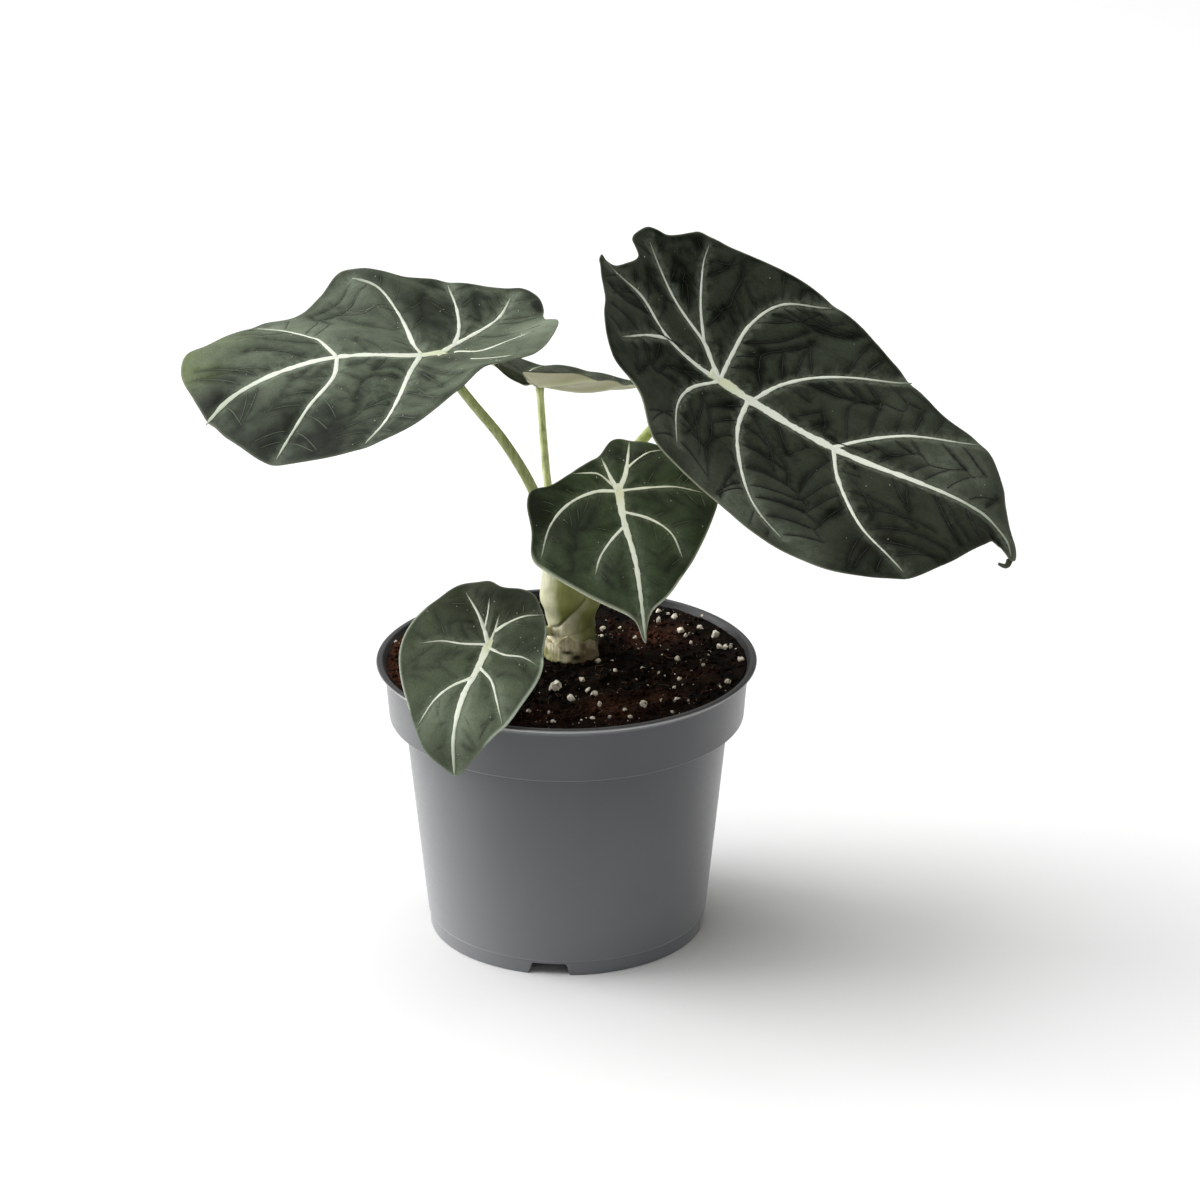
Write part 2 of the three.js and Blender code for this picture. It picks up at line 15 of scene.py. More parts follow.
import bpy
import numpy as np
from numpy.typing import NDArray
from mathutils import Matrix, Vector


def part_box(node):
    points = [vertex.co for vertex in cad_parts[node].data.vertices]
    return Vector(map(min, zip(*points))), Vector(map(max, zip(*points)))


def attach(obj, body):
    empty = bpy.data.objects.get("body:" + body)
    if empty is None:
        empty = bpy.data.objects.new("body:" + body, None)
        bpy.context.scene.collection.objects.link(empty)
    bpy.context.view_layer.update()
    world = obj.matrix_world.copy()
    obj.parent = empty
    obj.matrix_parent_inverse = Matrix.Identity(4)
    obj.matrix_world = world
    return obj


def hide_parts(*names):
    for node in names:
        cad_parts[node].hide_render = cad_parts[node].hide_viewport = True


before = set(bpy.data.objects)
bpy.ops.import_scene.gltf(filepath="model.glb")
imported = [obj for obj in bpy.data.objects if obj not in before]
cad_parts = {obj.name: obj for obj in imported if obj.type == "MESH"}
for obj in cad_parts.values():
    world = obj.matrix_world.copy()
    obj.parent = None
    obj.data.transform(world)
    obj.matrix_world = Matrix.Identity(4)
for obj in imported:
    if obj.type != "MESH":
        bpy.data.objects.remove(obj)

Floats = NDArray[np.float64]
Ints = NDArray[np.int64]
Pair = tuple[float, float]
Triple = tuple[float, float, float]
Socket = bpy.types.NodeSocket

LOG = logging.getLogger("alocasia")
MM = 0.001
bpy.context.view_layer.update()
POT_LOW, POT_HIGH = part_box("pot")
POT_AXIS = np.array([(POT_LOW.x + POT_HIGH.x) / 2, (POT_LOW.y + POT_HIGH.y) / 2, 0.0])

# The pot: radii, heights and thicknesses in millimetres.
RIM_R, POT_H, LIP_H = 60.0, 90.0, 1.1
COLLAR_TOP_R, COLLAR_FOOT_R, COLLAR_Z = 57.3, 56.1, 71.3
BODY_TOP_R, BODY_FOOT_R = 51.3, 44.7
STEP_Z, FOOT_R, FOOT_RING = 5.2, 44.1, 3.2
WALL, FLOOR_Z, FLOOR_T = 1.3, 3.6, 1.4
UNDER_LIP_Z = POT_H - LIP_H
INNER_LIP_Z, SHOULDER_Z = UNDER_LIP_Z - 2.2, COLLAR_Z + 1.2
LIP_R = COLLAR_TOP_R + 0.7
# The soil: GAP is its clearance over the pot's floor, and half its clearance at the wall.
GAP, SOIL_R = 0.3, COLLAR_TOP_R - 0.5
SOIL_EDGE_Z, SOIL_MID_Z, SOIL_LUMP = 88.2, 87.4, 0.7
# The rootstock: its axis, how far loose things stay off it, and its radius by height.
STEM_X, STEM_Y, STEM_CLEAR = 1.5, 8.0, 9.5
STEM_PROFILE: tuple[Pair, ...] = (
    (74, 6.6), (79, 7.7), (87, 8.2), (97, 7.5), (102, 8.1), (106.5, 9.6), (113, 9.5), (119, 9.0),
    (124.5, 7.6), (128, 4.4),
)
# The blades: thickness at the hub and the margin, and their relief; FAR is where no line is near.
BLADE_T, MARGIN_T, LIFT_POWER = 0.8, 0.35, 1.6
VEIN_SINK, VEIN_SPREAD, VEIN_STEP, FOLD_STEP = 0.9, 3.2, 0.9, 0.8
FOLD_SOFT, PILLOW_RUN, FAR = 0.4, 1.9, 50.0


# ---- curves, noise and grids ----
def spline_through(points: "Floats | tuple", closed: bool, per_span: int) -> Floats:
    """Samples a centripetal Catmull-Rom curve: cubic pieces, with knots apart by the root of the chord.

    Args:
        points: The points that the curve passes through, one a row.
        closed: Whether the last point joins the first.
        per_span: Samples for each stretch between two points.

    Returns:
        The samples, one a row; an open curve ends on its last point.
    """
    p = np.asarray(points, float)
    if closed:
        before, start, end, after = np.roll(p, 1, 0), p, np.roll(p, -1, 0), np.roll(p, -2, 0)
    else:
        longer = np.vstack([2 * p[0] - p[1], p, 2 * p[-1] - p[-2]])
        before, start, end, after = longer[:-3], longer[1:-2], longer[2:-1], longer[3:]
    g0, g1, g2 = (
        np.maximum(((b - a) ** 2).sum(1) ** 0.25, 1e-4)[:, None]
        for a, b in ((before, start), (start, end), (end, after))
    )
    lead = ((start - before) / g0 - (end - before) / (g0 + g1) + (end - start) / g1) * g1
    trail = ((end - start) / g1 - (after - start) / (g1 + g2) + (after - end) / g2) * g1
    t = (np.arange(per_span) / per_span)[None, :, None]
    a, b, c, d = start[:, None], lead[:, None], trail[:, None], end[:, None]
    curve = a + b * t + (3 * d - 3 * a - 2 * b - c) * t**2 + (2 * a - 2 * d + b + c) * t**3
    flat = curve.reshape(-1, p.shape[1])
    return flat if closed else np.vstack([flat, p[-1:]])


def even_steps(line: Floats, count: int, closed: bool = False, turn_weight: float = 0.0) -> Floats:
    """Resamples a line evenly by length, or with more points where it turns.

    Args:
        line: Points of the line, one a row.
        count: The number of points wanted.
        closed: Whether the line returns to its start, which is then not repeated.
        turn_weight: Length that each radian of turn counts for.

    Returns:
        The new points, one a row.
    """
    whole = np.vstack([line, line[:1]]) if closed else line
    step = np.diff(whole, axis=0)
    length = np.maximum(np.linalg.norm(step, axis=1), 1e-9)
    way = step / length[:, None]
    turn = np.zeros(len(length))
    turn[1:] = np.arccos(np.clip((way[1:] * way[:-1]).sum(1), -1, 1))
    reach = np.concatenate([[0.0], np.cumsum(length + turn_weight * turn)])
    at = np.linspace(0, reach[-1], count + 1)[:-1] if closed else np.linspace(0, reach[-1], count)
    return np.column_stack([np.interp(at, reach, whole[:, k]) for k in range(whole.shape[1])])


def height_through(x: Floats, knots: tuple[Pair, ...]) -> Floats:
    """A smooth height through (x, height) knots: cubic pieces with centred slopes and straight ends."""
    knot = np.asarray(knots, float)
    at, high = knot[:, 0], knot[:, 1]
    slope = np.empty(len(at))
    slope[0] = (high[1] - high[0]) / (at[1] - at[0])
    slope[-1] = (high[-1] - high[-2]) / (at[-1] - at[-2])
    slope[1:-1] = (high[2:] - high[:-2]) / (at[2:] - at[:-2])
    i = np.clip(np.searchsorted(at, x) - 1, 0, len(at) - 2)
    wide = at[i + 1] - at[i]
    t = np.clip((x - at[i]) / wide, 0, 1)
    rise = t * t * (3 - 2 * t)
    bend = wide * t * (1 - t) * ((1 - t) * slope[i] - t * slope[i + 1])
    beyond = np.minimum(x - at[0], 0) * slope[0] + np.maximum(x - at[-1], 0) * slope[-1]
    return high[i] + (high[i + 1] - high[i]) * rise + bend + beyond


def ease(x: Floats, low: float, high: float) -> Floats:
    """A smooth rise from 0 at low to 1 at high: 3t^2 - 2t^3."""
    t = np.clip((x - low) / (high - low), 0, 1)
    return t * t * (3 - 2 * t)


def bump_at(x: Floats, middle: float, width: float) -> Floats:
    """A smooth bump of height 1: exp(-((x - middle) / width)^2)."""
    return np.exp(-(((x - middle) / width) ** 2))


def degrees_to_nearest(bearing: Floats, others: Floats) -> Floats:
    """Degrees from each bearing to the nearest of the others."""
    return np.abs((bearing[:, None] - others + 180) % 360 - 180).min(1)


def crossed(*coordinates: "Floats | float") -> Floats:
    """Points from coordinates that are broadcast together."""
    return np.stack(np.broadcast_arrays(*coordinates), -1)


def length_of(line: Floats) -> float:
    """The length of a line of points, one a row."""
    return float(np.linalg.norm(np.diff(line, axis=0), axis=1).sum())


def line_distance(u: Floats, v: Floats, line: Floats) -> Floats:
    """The distance from each point (u, v) to a line of short straight pieces, its points by row."""
    best = np.full(np.shape(u), 1e12)
    for (au, av), (bu, bv) in zip(line[:-1], line[1:]):
        du, dv = bu - au, bv - av
        t = np.clip(((u - au) * du + (v - av) * dv) / max(du * du + dv * dv, 1e-12), 0, 1)
        best = np.minimum(best, (u - au - t * du) ** 2 + (v - av - t * dv) ** 2)
    return np.sqrt(best)


class Seed(IntEnum):
    """Seeds of the noise and the random draws; the last three are added to a blade's own seed."""

    SOIL = 29
    CRUMBS = 12
    WHITE_GRAINS = 5
    FIBRES = 31
    ROOTSTOCK = 71
    SHEATH = 83
    GROOVES = 9
    DUST = 50
    FEATHERS = 70


class Grain:
    """Smooth seeded noise between -1 and 1, from a lattice of random numbers that repeats."""

    SIZE = 32

    def __init__(self, seed: int) -> None:
        """Draws the lattice from the seed."""
        self.lattice = np.random.default_rng(seed).uniform(-1, 1, (self.SIZE,) * 3)

    def at(self, points: Floats, pitch: float) -> Floats:
        """Blends the eight lattice numbers round each point, with the ease 3t^2 - 2t^3.

        Args:
            points: Places, with two or three coordinates in the last axis.
            pitch: Distance between lattice numbers, in the points' own unit.

        Returns:
            One value for each point.
        """
        if points.shape[-1] == 2:
            points = np.concatenate([points, np.zeros_like(points[..., :1])], -1)
        scaled = points / pitch
        cell = np.floor(scaled).astype(int)
        t = scaled - cell
        t = t * t * (3 - 2 * t)
        total = np.zeros(points.shape[:-1])
        for corner in np.ndindex(2, 2, 2):
            near = np.array(corner)
            x, y, z = np.moveaxis((cell + near) % self.SIZE, -1, 0)
            total += np.prod(np.where(near == 1, t, 1 - t), -1) * self.lattice[x, y, z]
        return total

    def rough(self, points: Floats, pitch: float, layers: int) -> Floats:
        """Adds layers of noise, each at half the pitch and half the height of the one before."""
        parts = (self.at(points + 7.3 * k, pitch / 2**k) / 2**k for k in range(layers))
        return np.sum(list(parts), axis=0)


def ring_quads(rows: int, columns: int) -> Ints:
    """Quads of rows of points whose last column joins the first, facing column way cross row way."""
    i = np.arange(rows - 1)[:, None] * columns
    j = np.arange(columns)[None, :]
    k = (j + 1) % columns
    return np.stack([i + j, i + k, i + columns + k, i + columns + j], -1).reshape(-1, 4)


def unit(vectors: Floats) -> Floats:
    """The vectors, each made one unit long."""
    return vectors / np.maximum(np.linalg.norm(vectors, axis=-1, keepdims=True), 1e-12)


# ---- shapes and pieces ----
@dataclass
class Shell:
    """A closed shape in millimetres about the pot's axis.

    Attributes:
        points: Its points, one a row.
        faces: Groups of faces with three or four corners, one face a row.
        coats: The number of the finish for each group of faces.
        marks: Named values, one for each point, which a finish reads as attributes.
    """

    points: Floats
    faces: list[Ints]
    coats: list[int] = field(default_factory=list)
    marks: dict[str, Floats] = field(default_factory=dict)

    def triangles(self) -> int:
        """The number of triangles in the shape."""
        return sum(len(group) * (group.shape[1] - 2) for group in self.faces)


def fused(shells: list[Shell]) -> Shell:
    """Joins shapes into one, keeping each one's marks and giving 0 where a shape lacks a mark."""
    names = sorted({name for shell in shells for name in shell.marks})
    start = np.cumsum([0] + [len(shell.points) for shell in shells])
    marks = {
        name: np.concatenate([s.marks.get(name, np.zeros(len(s.points))) for s in shells])
        for name in names
    }
    faces = [group + begin for shell, begin in zip(shells, start) for group in shell.faces]
    coats = [coat for shell in shells for coat in (shell.coats or [0] * len(shell.faces))]
    return Shell(np.vstack([shell.points for shell in shells]), faces, coats, marks)


def capped_tube(rings: Floats, marks: "dict[str, Floats] | None" = None) -> Shell:
    """Closes rings of points into a tube, with a pole at each end.

    Args:
        rings: Points by ring and by place round the ring, which runs right-handed about the way on.
        marks: Named values by ring and place.

    Returns:
        The closed tube; each pole takes the mean of its ring.
    """
    rows, columns = rings.shape[:2]
    points = np.vstack([rings.reshape(-1, 3), rings[0].mean(0), rings[-1].mean(0)])
    j = np.arange(columns)
    k = (j + 1) % columns
    foot, top, last = rows * columns, rows * columns + 1, (rows - 1) * columns
    caps = np.vstack([
        np.column_stack([np.full(columns, foot), k, j]),
        np.column_stack([np.full(columns, top), last + j, last + k]),
    ])
    kept = {
        name: np.concatenate([value.ravel(), [value[0].mean(), value[-1].mean()]])
        for name, value in (marks or {}).items()
    }
    return Shell(points, [ring_quads(rows, columns), caps], [0, 0], kept)


def tube_along(path: Floats, radius: Floats, sides: int, lumps: "Floats | float" = 0.0) -> Floats:
    """Rings of points round a path: centre + radius (cos a n + sin a b) in the path's own frame.

    Args:
        path: Centres, one a row.
        radius: One radius for each centre.
        sides: Points in each ring.
        lumps: Added radius, by ring and side.

    Returns:
        Points by ring and side.
    """
    way = unit(np.gradient(path, axis=0))
    aside = np.eye(3)[np.argmin(np.abs(way.mean(0)))]
    normal = unit(np.cross(way, aside))
    other = np.cross(way, normal)
    a = np.linspace(0, 2 * np.pi, sides, endpoint=False)
    spoke = normal[:, None] * np.cos(a)[None, :, None] + other[:, None] * np.sin(a)[None, :, None]
    return path[:, None] + spoke * (radius[:, None] + lumps)[..., None]


def new_object(name: str, data: bpy.types.ID) -> bpy.types.Object:
    """Puts a new object with its data into the scene, at the origin."""
    thing = bpy.data.objects.new(name, data)
    bpy.context.scene.collection.objects.link(thing)
    return thing


def make_piece(
    name: str, shell: Shell, finishes: list[bpy.types.Material],
    stands_for: tuple[str, ...] = (), sharp: "float | None" = None,
) -> None:
    """Puts a shape into the scene as one smooth-shaded piece that rides on the root body.

    Args:
        name: The piece's name.
        shell: Its shape.
        finishes: Its materials, in the order of the shell's coats.
        stands_for: The CAD nodes that it replaces.
        sharp: The angle in degrees past which an edge stays sharp.
    """
    mesh = bpy.data.meshes.new(name)
    mesh.vertices.add(len(shell.points))
    mesh.vertices.foreach_set("co", (shell.points * MM + POT_AXIS).astype(np.float32).ravel())
    corners = np.concatenate([group.ravel() for group in shell.faces])
    sizes = np.concatenate([np.full(len(group), group.shape[1]) for group in shell.faces])
    every_coat = shell.coats or [0] * len(shell.faces)
    coats = np.concatenate([np.full(len(group), coat) for group, coat in zip(shell.faces, every_coat)])
    mesh.loops.add(len(corners))
    mesh.loops.foreach_set("vertex_index", corners.astype(np.int32))
    mesh.polygons.add(len(sizes))
    mesh.polygons.foreach_set("loop_start", (np.cumsum(sizes) - sizes).astype(np.int32))
    mesh.polygons.foreach_set("material_index", coats.astype(np.int32))
    mesh.polygons.foreach_set("use_smooth", np.ones(len(sizes), bool))
    for mark, values in shell.marks.items():
        mesh.attributes.new(mark, "FLOAT", "POINT").data.foreach_set("value", values.astype(np.float32))
    mesh.update(calc_edges=True)
    if mesh.validate():
        LOG.warning("%s had faulty faces, which were mended", name)
    if sharp is not None:
        mesh.set_sharp_from_angle(angle=math.radians(sharp))
    for finish in finishes:
        mesh.materials.append(finish)
    piece = new_object(name, mesh)
    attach(piece, "root")
    if stands_for:
        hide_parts(*stands_for)
    LOG.info("%s: %d triangles", name, shell.triangles())


# ---- finishes ----
# Each finish class holds its material's name and its colours, in display values of 0 to 255.
def ink(red: float, green: float, blue: float) -> tuple[float, float, float, float]:
    """A colour from display values of 0 to 255, as the linear values that a shader takes."""
    linear = (
        c / 12.92 if c <= 0.04045 else ((c + 0.055) / 1.055) ** 2.4
        for c in (red / 255, green / 255, blue / 255)
    )
    return (*linear, 1.0)


class Bench:
    """Makes and joins the nodes of one material, and lays its colours one over another."""

    def __init__(self, name: str, ground: Triple) -> None:
        """Starts a material in one colour, with a shader joined to its output."""
        self.material = bpy.data.materials.new(name)
        self.material.use_nodes = True
        self.tree = self.material.node_tree
        self.tree.nodes.clear()
        self.shader = self.tree.nodes.new("ShaderNodeBsdfPrincipled")
        self.node("OutputMaterial", {"Surface": self.shader.outputs["BSDF"]})
        self.object_place = self.node("TexCoord", {}).outputs["Object"]
        self.colour: "Socket | tuple" = ink(*ground)

    def _feed(self, socket: Socket, value: "Socket | float | tuple") -> None:
        """Joins a socket to another, or sets its own value."""
        if isinstance(value, bpy.types.NodeSocket):
            self.tree.links.new(value, socket)
        else:
            socket.default_value = value

    def node(self, kind: str, inputs: dict, **settings: "str | bool") -> bpy.types.Node:
        """Adds a shader node of one kind, with its settings, and feeds its inputs by name or number."""
        node = self.tree.nodes.new(f"ShaderNode{kind}")
        for name, value in settings.items():
            setattr(node, name, value)
        for key, value in inputs.items():
            self._feed(node.inputs[key], value)
        return node

    def mark(self, name: str) -> Socket:
        """The piece's own attribute of that name."""
        return self.node("Attribute", {}, attribute_name=name).outputs["Fac"]

    def stretched(self, scale: Triple) -> Socket:
        """Object coordinates, stretched by a factor on each axis."""
        return self.node("Mapping", {"Scale": scale, "Vector": self.object_place}).outputs["Vector"]

    def noise(
        self, pitch: float, detail: float = 2.0, roughness: float = 0.5, distortion: float = 0.0,
        vector: "Socket | None" = None,
    ) -> Socket:
        """Cloudy noise from 0 to 1.

        Args:
            pitch: Size of its blotches in millimetres.
            detail: Layers of finer noise.
            roughness: Strength of the finer layers.
            distortion: How far the blotches are stirred.
            vector: The place to read, or None for Object coordinates.

        Returns:
            The noise's value.
        """
        return self.node("TexNoise", {
            "Scale": 1 / (pitch * MM), "Detail": detail, "Roughness": roughness,
            "Distortion": distortion, "Vector": vector or self.object_place,
        }).outputs["Fac"]

    def band(self, value: Socket, low: float = 0.3, high: float = 0.7, out: Pair = (0.0, 1.0)) -> Socket:
        """Maps low..high smoothly to the two values of out, and holds them beyond."""
        return self.node("MapRange", {
            "Value": value, "From Min": low, "From Max": high, "To Min": out[0], "To Max": out[1],
        }, interpolation_type="SMOOTHSTEP").outputs["Result"]

    def bump(self, height: Socket, depth: float, **below: Socket) -> Socket:
        """A bumped normal, for a height of 0 to 1 that stands for a depth in millimetres."""
        return self.node("Bump", {"Distance": depth * MM, "Height": height, **below}).outputs["Normal"]

    def over(self, amount: "Socket | str", colour: Triple, times: "Socket | float | None" = None) -> None:
        """Lays a colour over those before it.

        Args:
            amount: Where it shows, from 0 to 1: a socket, or the name of the piece's own mark.
            colour: The colour in display values.
            times: A factor on the amount.
        """
        share = self.mark(amount) if isinstance(amount, str) else amount
        if times is not None:
            product = self.node("Math", {0: share, 1: times}, operation="MULTIPLY", use_clamp=True)
            share = product.outputs[0]
        layers = {"Factor": share, 6: self.colour, 7: ink(*colour)}
        self.colour = self.node("Mix", layers, data_type="RGBA").outputs[2]

    def finish(self, **values: "Socket | float | tuple") -> bpy.types.Material:
        """Feeds the shader its colour and the values, named with _ for each space."""
        for name, value in {"Base_Color": self.colour, **values}.items():
            self._feed(self.shader.inputs[name.replace("_", " ")], value)
        return self.material


def glow(weight: float, *reach: float) -> dict:
    """Shader values for light under the skin, by its reach in millimetres for each colour."""
    radius = tuple(r * MM for r in reach)
    return {"Subsurface_Weight": weight, "Subsurface_Radius": radius, "Subsurface_Scale": 1.0}


@dataclass(frozen=True)
class VelvetFinish:
    """The upper face of a leaf: dark velvet and a dusty green nap, with painted shade in its creases and
    painted highlights on the pillows between them.

    Its colours are for the creases (deep), most of the leaf (body), nap that catches the light (pale),
    brown and young parts (stain, flush), nap beside the veins (halo) and the margin's pale line (hem).
    """

    name: str
    # colour of the painted shade along the folds
    shade_in_folds: Triple
    body: Triple
    pale: Triple
    stain: Triple
    flush: Triple
    halo: Triple
    hem: Triple
    sheen: float
    gloss: float = 0.2

    def build(self) -> bpy.types.Material:
        """Makes the material from the leaf's marks and noise at three scales."""
        bench = Bench(self.name, self.body)
        nap, fleck = bench.noise(0.55, 2, 0.6), bench.noise(2.2, 3, 0.6, 0.4)
        bench.over(bench.band(bench.noise(11, 4, 0.6, 0.3), 0.36, 0.66), self.pale)
        bench.over("grey", self.halo)
        bench.over("flush", self.flush)
        # painted highlight: a lighter pale on the pillow tops between the folds
        bright = tuple(c * 1.1 for c in self.pale)
        bench.over("crest", bright, bench.band(fleck, out=(0.25, 0.7)))
        bench.over("halo", self.halo, bench.band(fleck, 0.35, 0.62, (0.35, 0.85)))
        bench.over("stain", self.stain)
        # painted shade: a dark band along every fold
        bench.over("groove", self.shade_in_folds, bench.band(fleck, 0.25, 0.65, (0.4, 0.9)))
        bench.over("edge", self.hem)
        speckle = {0: bench.colour, "Scale": bench.band(nap, out=(0.88, 1.1))}
        bench.colour = bench.node("VectorMath", speckle, operation="SCALE").outputs[0]
        return bench.finish(
            Roughness=bench.band(fleck, out=(0.52, 0.68)),
            Normal=bench.bump(nap, 0.05, Normal=bench.bump(fleck, 0.10)),
            Specular_IOR_Level=self.gloss, Sheen_Weight=self.sheen, Sheen_Roughness=0.42,
            Sheen_Tint=ink(206, 212, 196),
        )


@dataclass(frozen=True)
class UndersideFinish:
    """The lower face of the leaves: pale matt green with dull blotches and paler ridges."""

    name: str = "leaf_underside"
    body: Triple = (176, 174, 140)
    ridge: Triple = (200, 202, 166)
    blush: Triple = (96, 92, 74)

    def build(self) -> bpy.types.Material:
        """Makes the material: ridges by the mark "ridge", blotches by noise."""
        bench = Bench(self.name, self.body)
        bench.over(bench.band(bench.noise(9, 3, 0.6), 0.58, 0.9), self.blush)
        bench.over("ridge", self.ridge)
        grain = bench.noise(0.7, 3, 0.6)
        return bench.finish(
            Roughness=bench.band(grain, out=(0.5, 0.66)), Normal=bench.bump(grain, 0.08),
            Specular_IOR_Level=0.4, Sheen_Weight=0.12,
        )


@dataclass(frozen=True)
class VeinFinish:
    """The veins: silver, greener at the hub, greyer far out, with crease lines by the mark "line"."""

    name: str
    crease: Triple
    flank: Triple
    silver: Triple = (234, 240, 222)
    hub: Triple = (222, 228, 190)
    far: Triple = (140, 150, 128)

    def build(self) -> bpy.types.Material:
        """Makes the material: run goes 0 to 1 from hub to margin, and flank 0 to 1 to the vein's side."""
        bench = Bench(self.name, self.hub)
        run = bench.mark("run")
        grain = bench.noise(1.1, 3, 0.6)
        bench.over(bench.band(run, 0.0, 0.12), self.silver)
        bench.over(bench.band(run, 0.5, 1.05), self.far)
        bench.over("flank", self.flank, bench.band(grain, 0.3, 0.65, (0.35, 0.95)))
        bench.over("line", self.crease)
        return bench.finish(
            Roughness=bench.band(grain, out=(0.45, 0.62)), Normal=bench.bump(grain, 0.06),
            Specular_IOR_Level=0.35, **glow(0.1, 0.6, 0.8, 0.4),
        )


@dataclass(frozen=True)
class FleshFinish:
    """Smooth fleshy stalks: waxy green, light streaks, and colours for the marks "shade" and "foot"."""

    name: str
    body: Triple
    light: Triple
    shade: Triple
    foot: Triple

    def build(self) -> bpy.types.Material:
        """Makes the material with streaks stretched up the piece and a soft glow under the skin."""
        bench = Bench(self.name, self.body)
        streak = bench.noise(1.0, 3, 0.55, vector=bench.stretched((1.0, 1.0, 0.12)))
        blotch = bench.noise(4.0, 3, 0.6)
        bench.over(bench.band(streak, 0.35, 0.7), self.light)
        bench.over("foot", self.foot, 0.95)
        bench.over(bench.band(blotch, 0.5, 0.75), self.shade, 0.35)
        bench.over("shade", self.shade)
        return bench.finish(
            Roughness=bench.band(blotch, out=(0.36, 0.52)), Normal=bench.bump(streak, 0.10),
            Specular_IOR_Level=0.45, **glow(0.22, 1.2, 1.5, 0.6),
        )


@dataclass(frozen=True)
class RootFinish:
    """The rootstock's skin: olive stalk bases, with colours for the marks "light" (painted light),
    "cream", "dark" (partly painted shade).
    """

    name: str = "rootstock_skin"
    olive: Triple = (138, 142, 80)
    # the mark "light" is painted light: paler on the front-left side, which faces the lamps
    light: Triple = (204, 204, 172)
    cream: Triple = (244, 238, 206)
    # the mark "dark" is partly painted shade (the overlap's crease and the right side) and partly real
    # scars
    dark: Triple = (76, 72, 38)

    def build(self) -> bpy.types.Material:
        """Makes the material with slanting streaks, blotches and a soft glow under the skin."""
        bench = Bench(self.name, self.olive)
        streak = bench.noise(0.8, 4, 0.6, 0.3, bench.stretched((1.0, 1.0, 0.22)))
        blotch = bench.noise(3.4, 4, 0.62, 0.5)
        bench.over("light", self.light)
        bench.over("cream", self.cream)
        bench.over(bench.band(blotch, 0.48, 0.72), self.olive, 0.25)
        bench.over(bench.band(streak, 0.5, 0.72, (0.0, 0.2)), self.dark)
        bench.over("dark", self.dark)
        return bench.finish(
            Roughness=bench.band(blotch, out=(0.38, 0.56)), Normal=bench.bump(streak, 0.12),
            Specular_IOR_Level=0.42, **glow(0.15, 1.0, 1.2, 0.5),
        )


@dataclass(frozen=True)
class PaperFinish:
    """The dry sheath: thin fibrous paper, with colours for the marks "brown", "olive" and "torn"."""

    name: str = "dry_sheath"
    paper: Triple = (240, 232, 200)
    fibre: Triple = (204, 194, 152)
    brown: Triple = (122, 106, 82)
    olive: Triple = (128, 128, 66)
    torn: Triple = (50, 44, 18)

    def build(self) -> bpy.types.Material:
        """Makes the material with slanting fibres over soft blotches and the three marks."""
        bench = Bench(self.name, self.paper)
        fibre = bench.noise(0.9, 4, 0.6, 0.8, bench.stretched((1.0, 1.0, 0.35)))
        blotch = bench.noise(2.6, 4, 0.65, 0.5)
        bench.over(bench.band(fibre, 0.4, 0.7), self.fibre)
        bench.over(bench.band(blotch, 0.5, 0.74, (0.0, 0.5)), self.brown)
        bench.over("olive", self.olive)
        bench.over("brown", self.brown)
        bench.over("torn", self.torn)
        return bench.finish(
            Roughness=bench.band(blotch, out=(0.5, 0.75)), Normal=bench.bump(fibre, 0.12),
            Specular_IOR_Level=0.3,
        )


@dataclass(frozen=True)
class PlasticFinish:
    """The pot: grey moulded plastic with a satin skin and worn scuffs, paler towards the foot as painted
    bounce light.

    The lip's mark is a painted highlight on its outer edge and top, and gloss is the strength of the
    reflections.
    """

    name: str = "pot_plastic"
    body: Triple = (68, 70, 73)
    bounce_light: Triple = (103, 105, 108)
    worn: Triple = (112, 114, 117)
    brow: Triple = (160, 161, 162)
    gloss: float = 0.5

    def build(self) -> bpy.types.Material:
        """Makes the material with flow marks round the pot, scuffs and a fine moulded grain."""
        bench = Bench(self.name, self.body)
        flow = bench.noise(22, 2, 0.5, vector=bench.stretched((1.0, 1.0, 0.5)))
        scuff = bench.noise(1.6, 4, 0.65, 0.4, bench.stretched((0.6, 0.6, 1.4)))
        bench.over(bench.band(flow, 0.3, 0.7), tuple(c - 4 for c in self.body))
        # painted light: the mark "dust" makes the plastic paler towards the foot, standing in for bounce
        # light from the floor
        bench.over("dust", self.bounce_light)
        bench.over(bench.band(scuff, 0.68, 0.84, (0.0, 0.22)), self.worn)
        # painted highlight on the lip's outer edge and top
        bench.over("brow", self.brow)
        return bench.finish(
            Roughness=bench.band(scuff, 0.35, 0.8, (0.34, 0.42)),
            Normal=bench.bump(bench.noise(0.35, 2, 0.5), 0.012), Specular_IOR_Level=self.gloss,
            Sheen_Weight=self.gloss * 0.7, Sheen_Roughness=0.5,
        )


@dataclass(frozen=True)
class EarthFinish:
    """Damp peat: near black with ruddy places, and painted shade in the hollows of its bump."""

    name: str = "potting_soil"
    black: Triple = (10, 7, 5)
    brown: Triple = (36, 25, 17)
    red: Triple = (92, 54, 38)
    hollow_shade: Triple = (8, 6, 5)

    def build(self) -> bpy.types.Material:
        """Makes the material: noise for the crumb, and the mark "red" for fibrous peat."""
        bench = Bench(self.name, self.black)
        crumb = bench.noise(1.0, 5, 0.7)
        bench.over(bench.band(bench.noise(5, 3, 0.6), 0.42, 0.75), self.brown)
        bench.over("red", self.red, bench.band(crumb, 0.38, 0.62))
        # painted shade: darker where the bump is low
        bench.over(bench.band(crumb, 0.5, 0.3, (0.0, 0.85)), self.hollow_shade)
        return bench.finish(
            Roughness=bench.band(crumb, out=(0.7, 0.95)), Normal=bench.bump(crumb, 0.45),
            Specular_IOR_Level=0.06,
        )


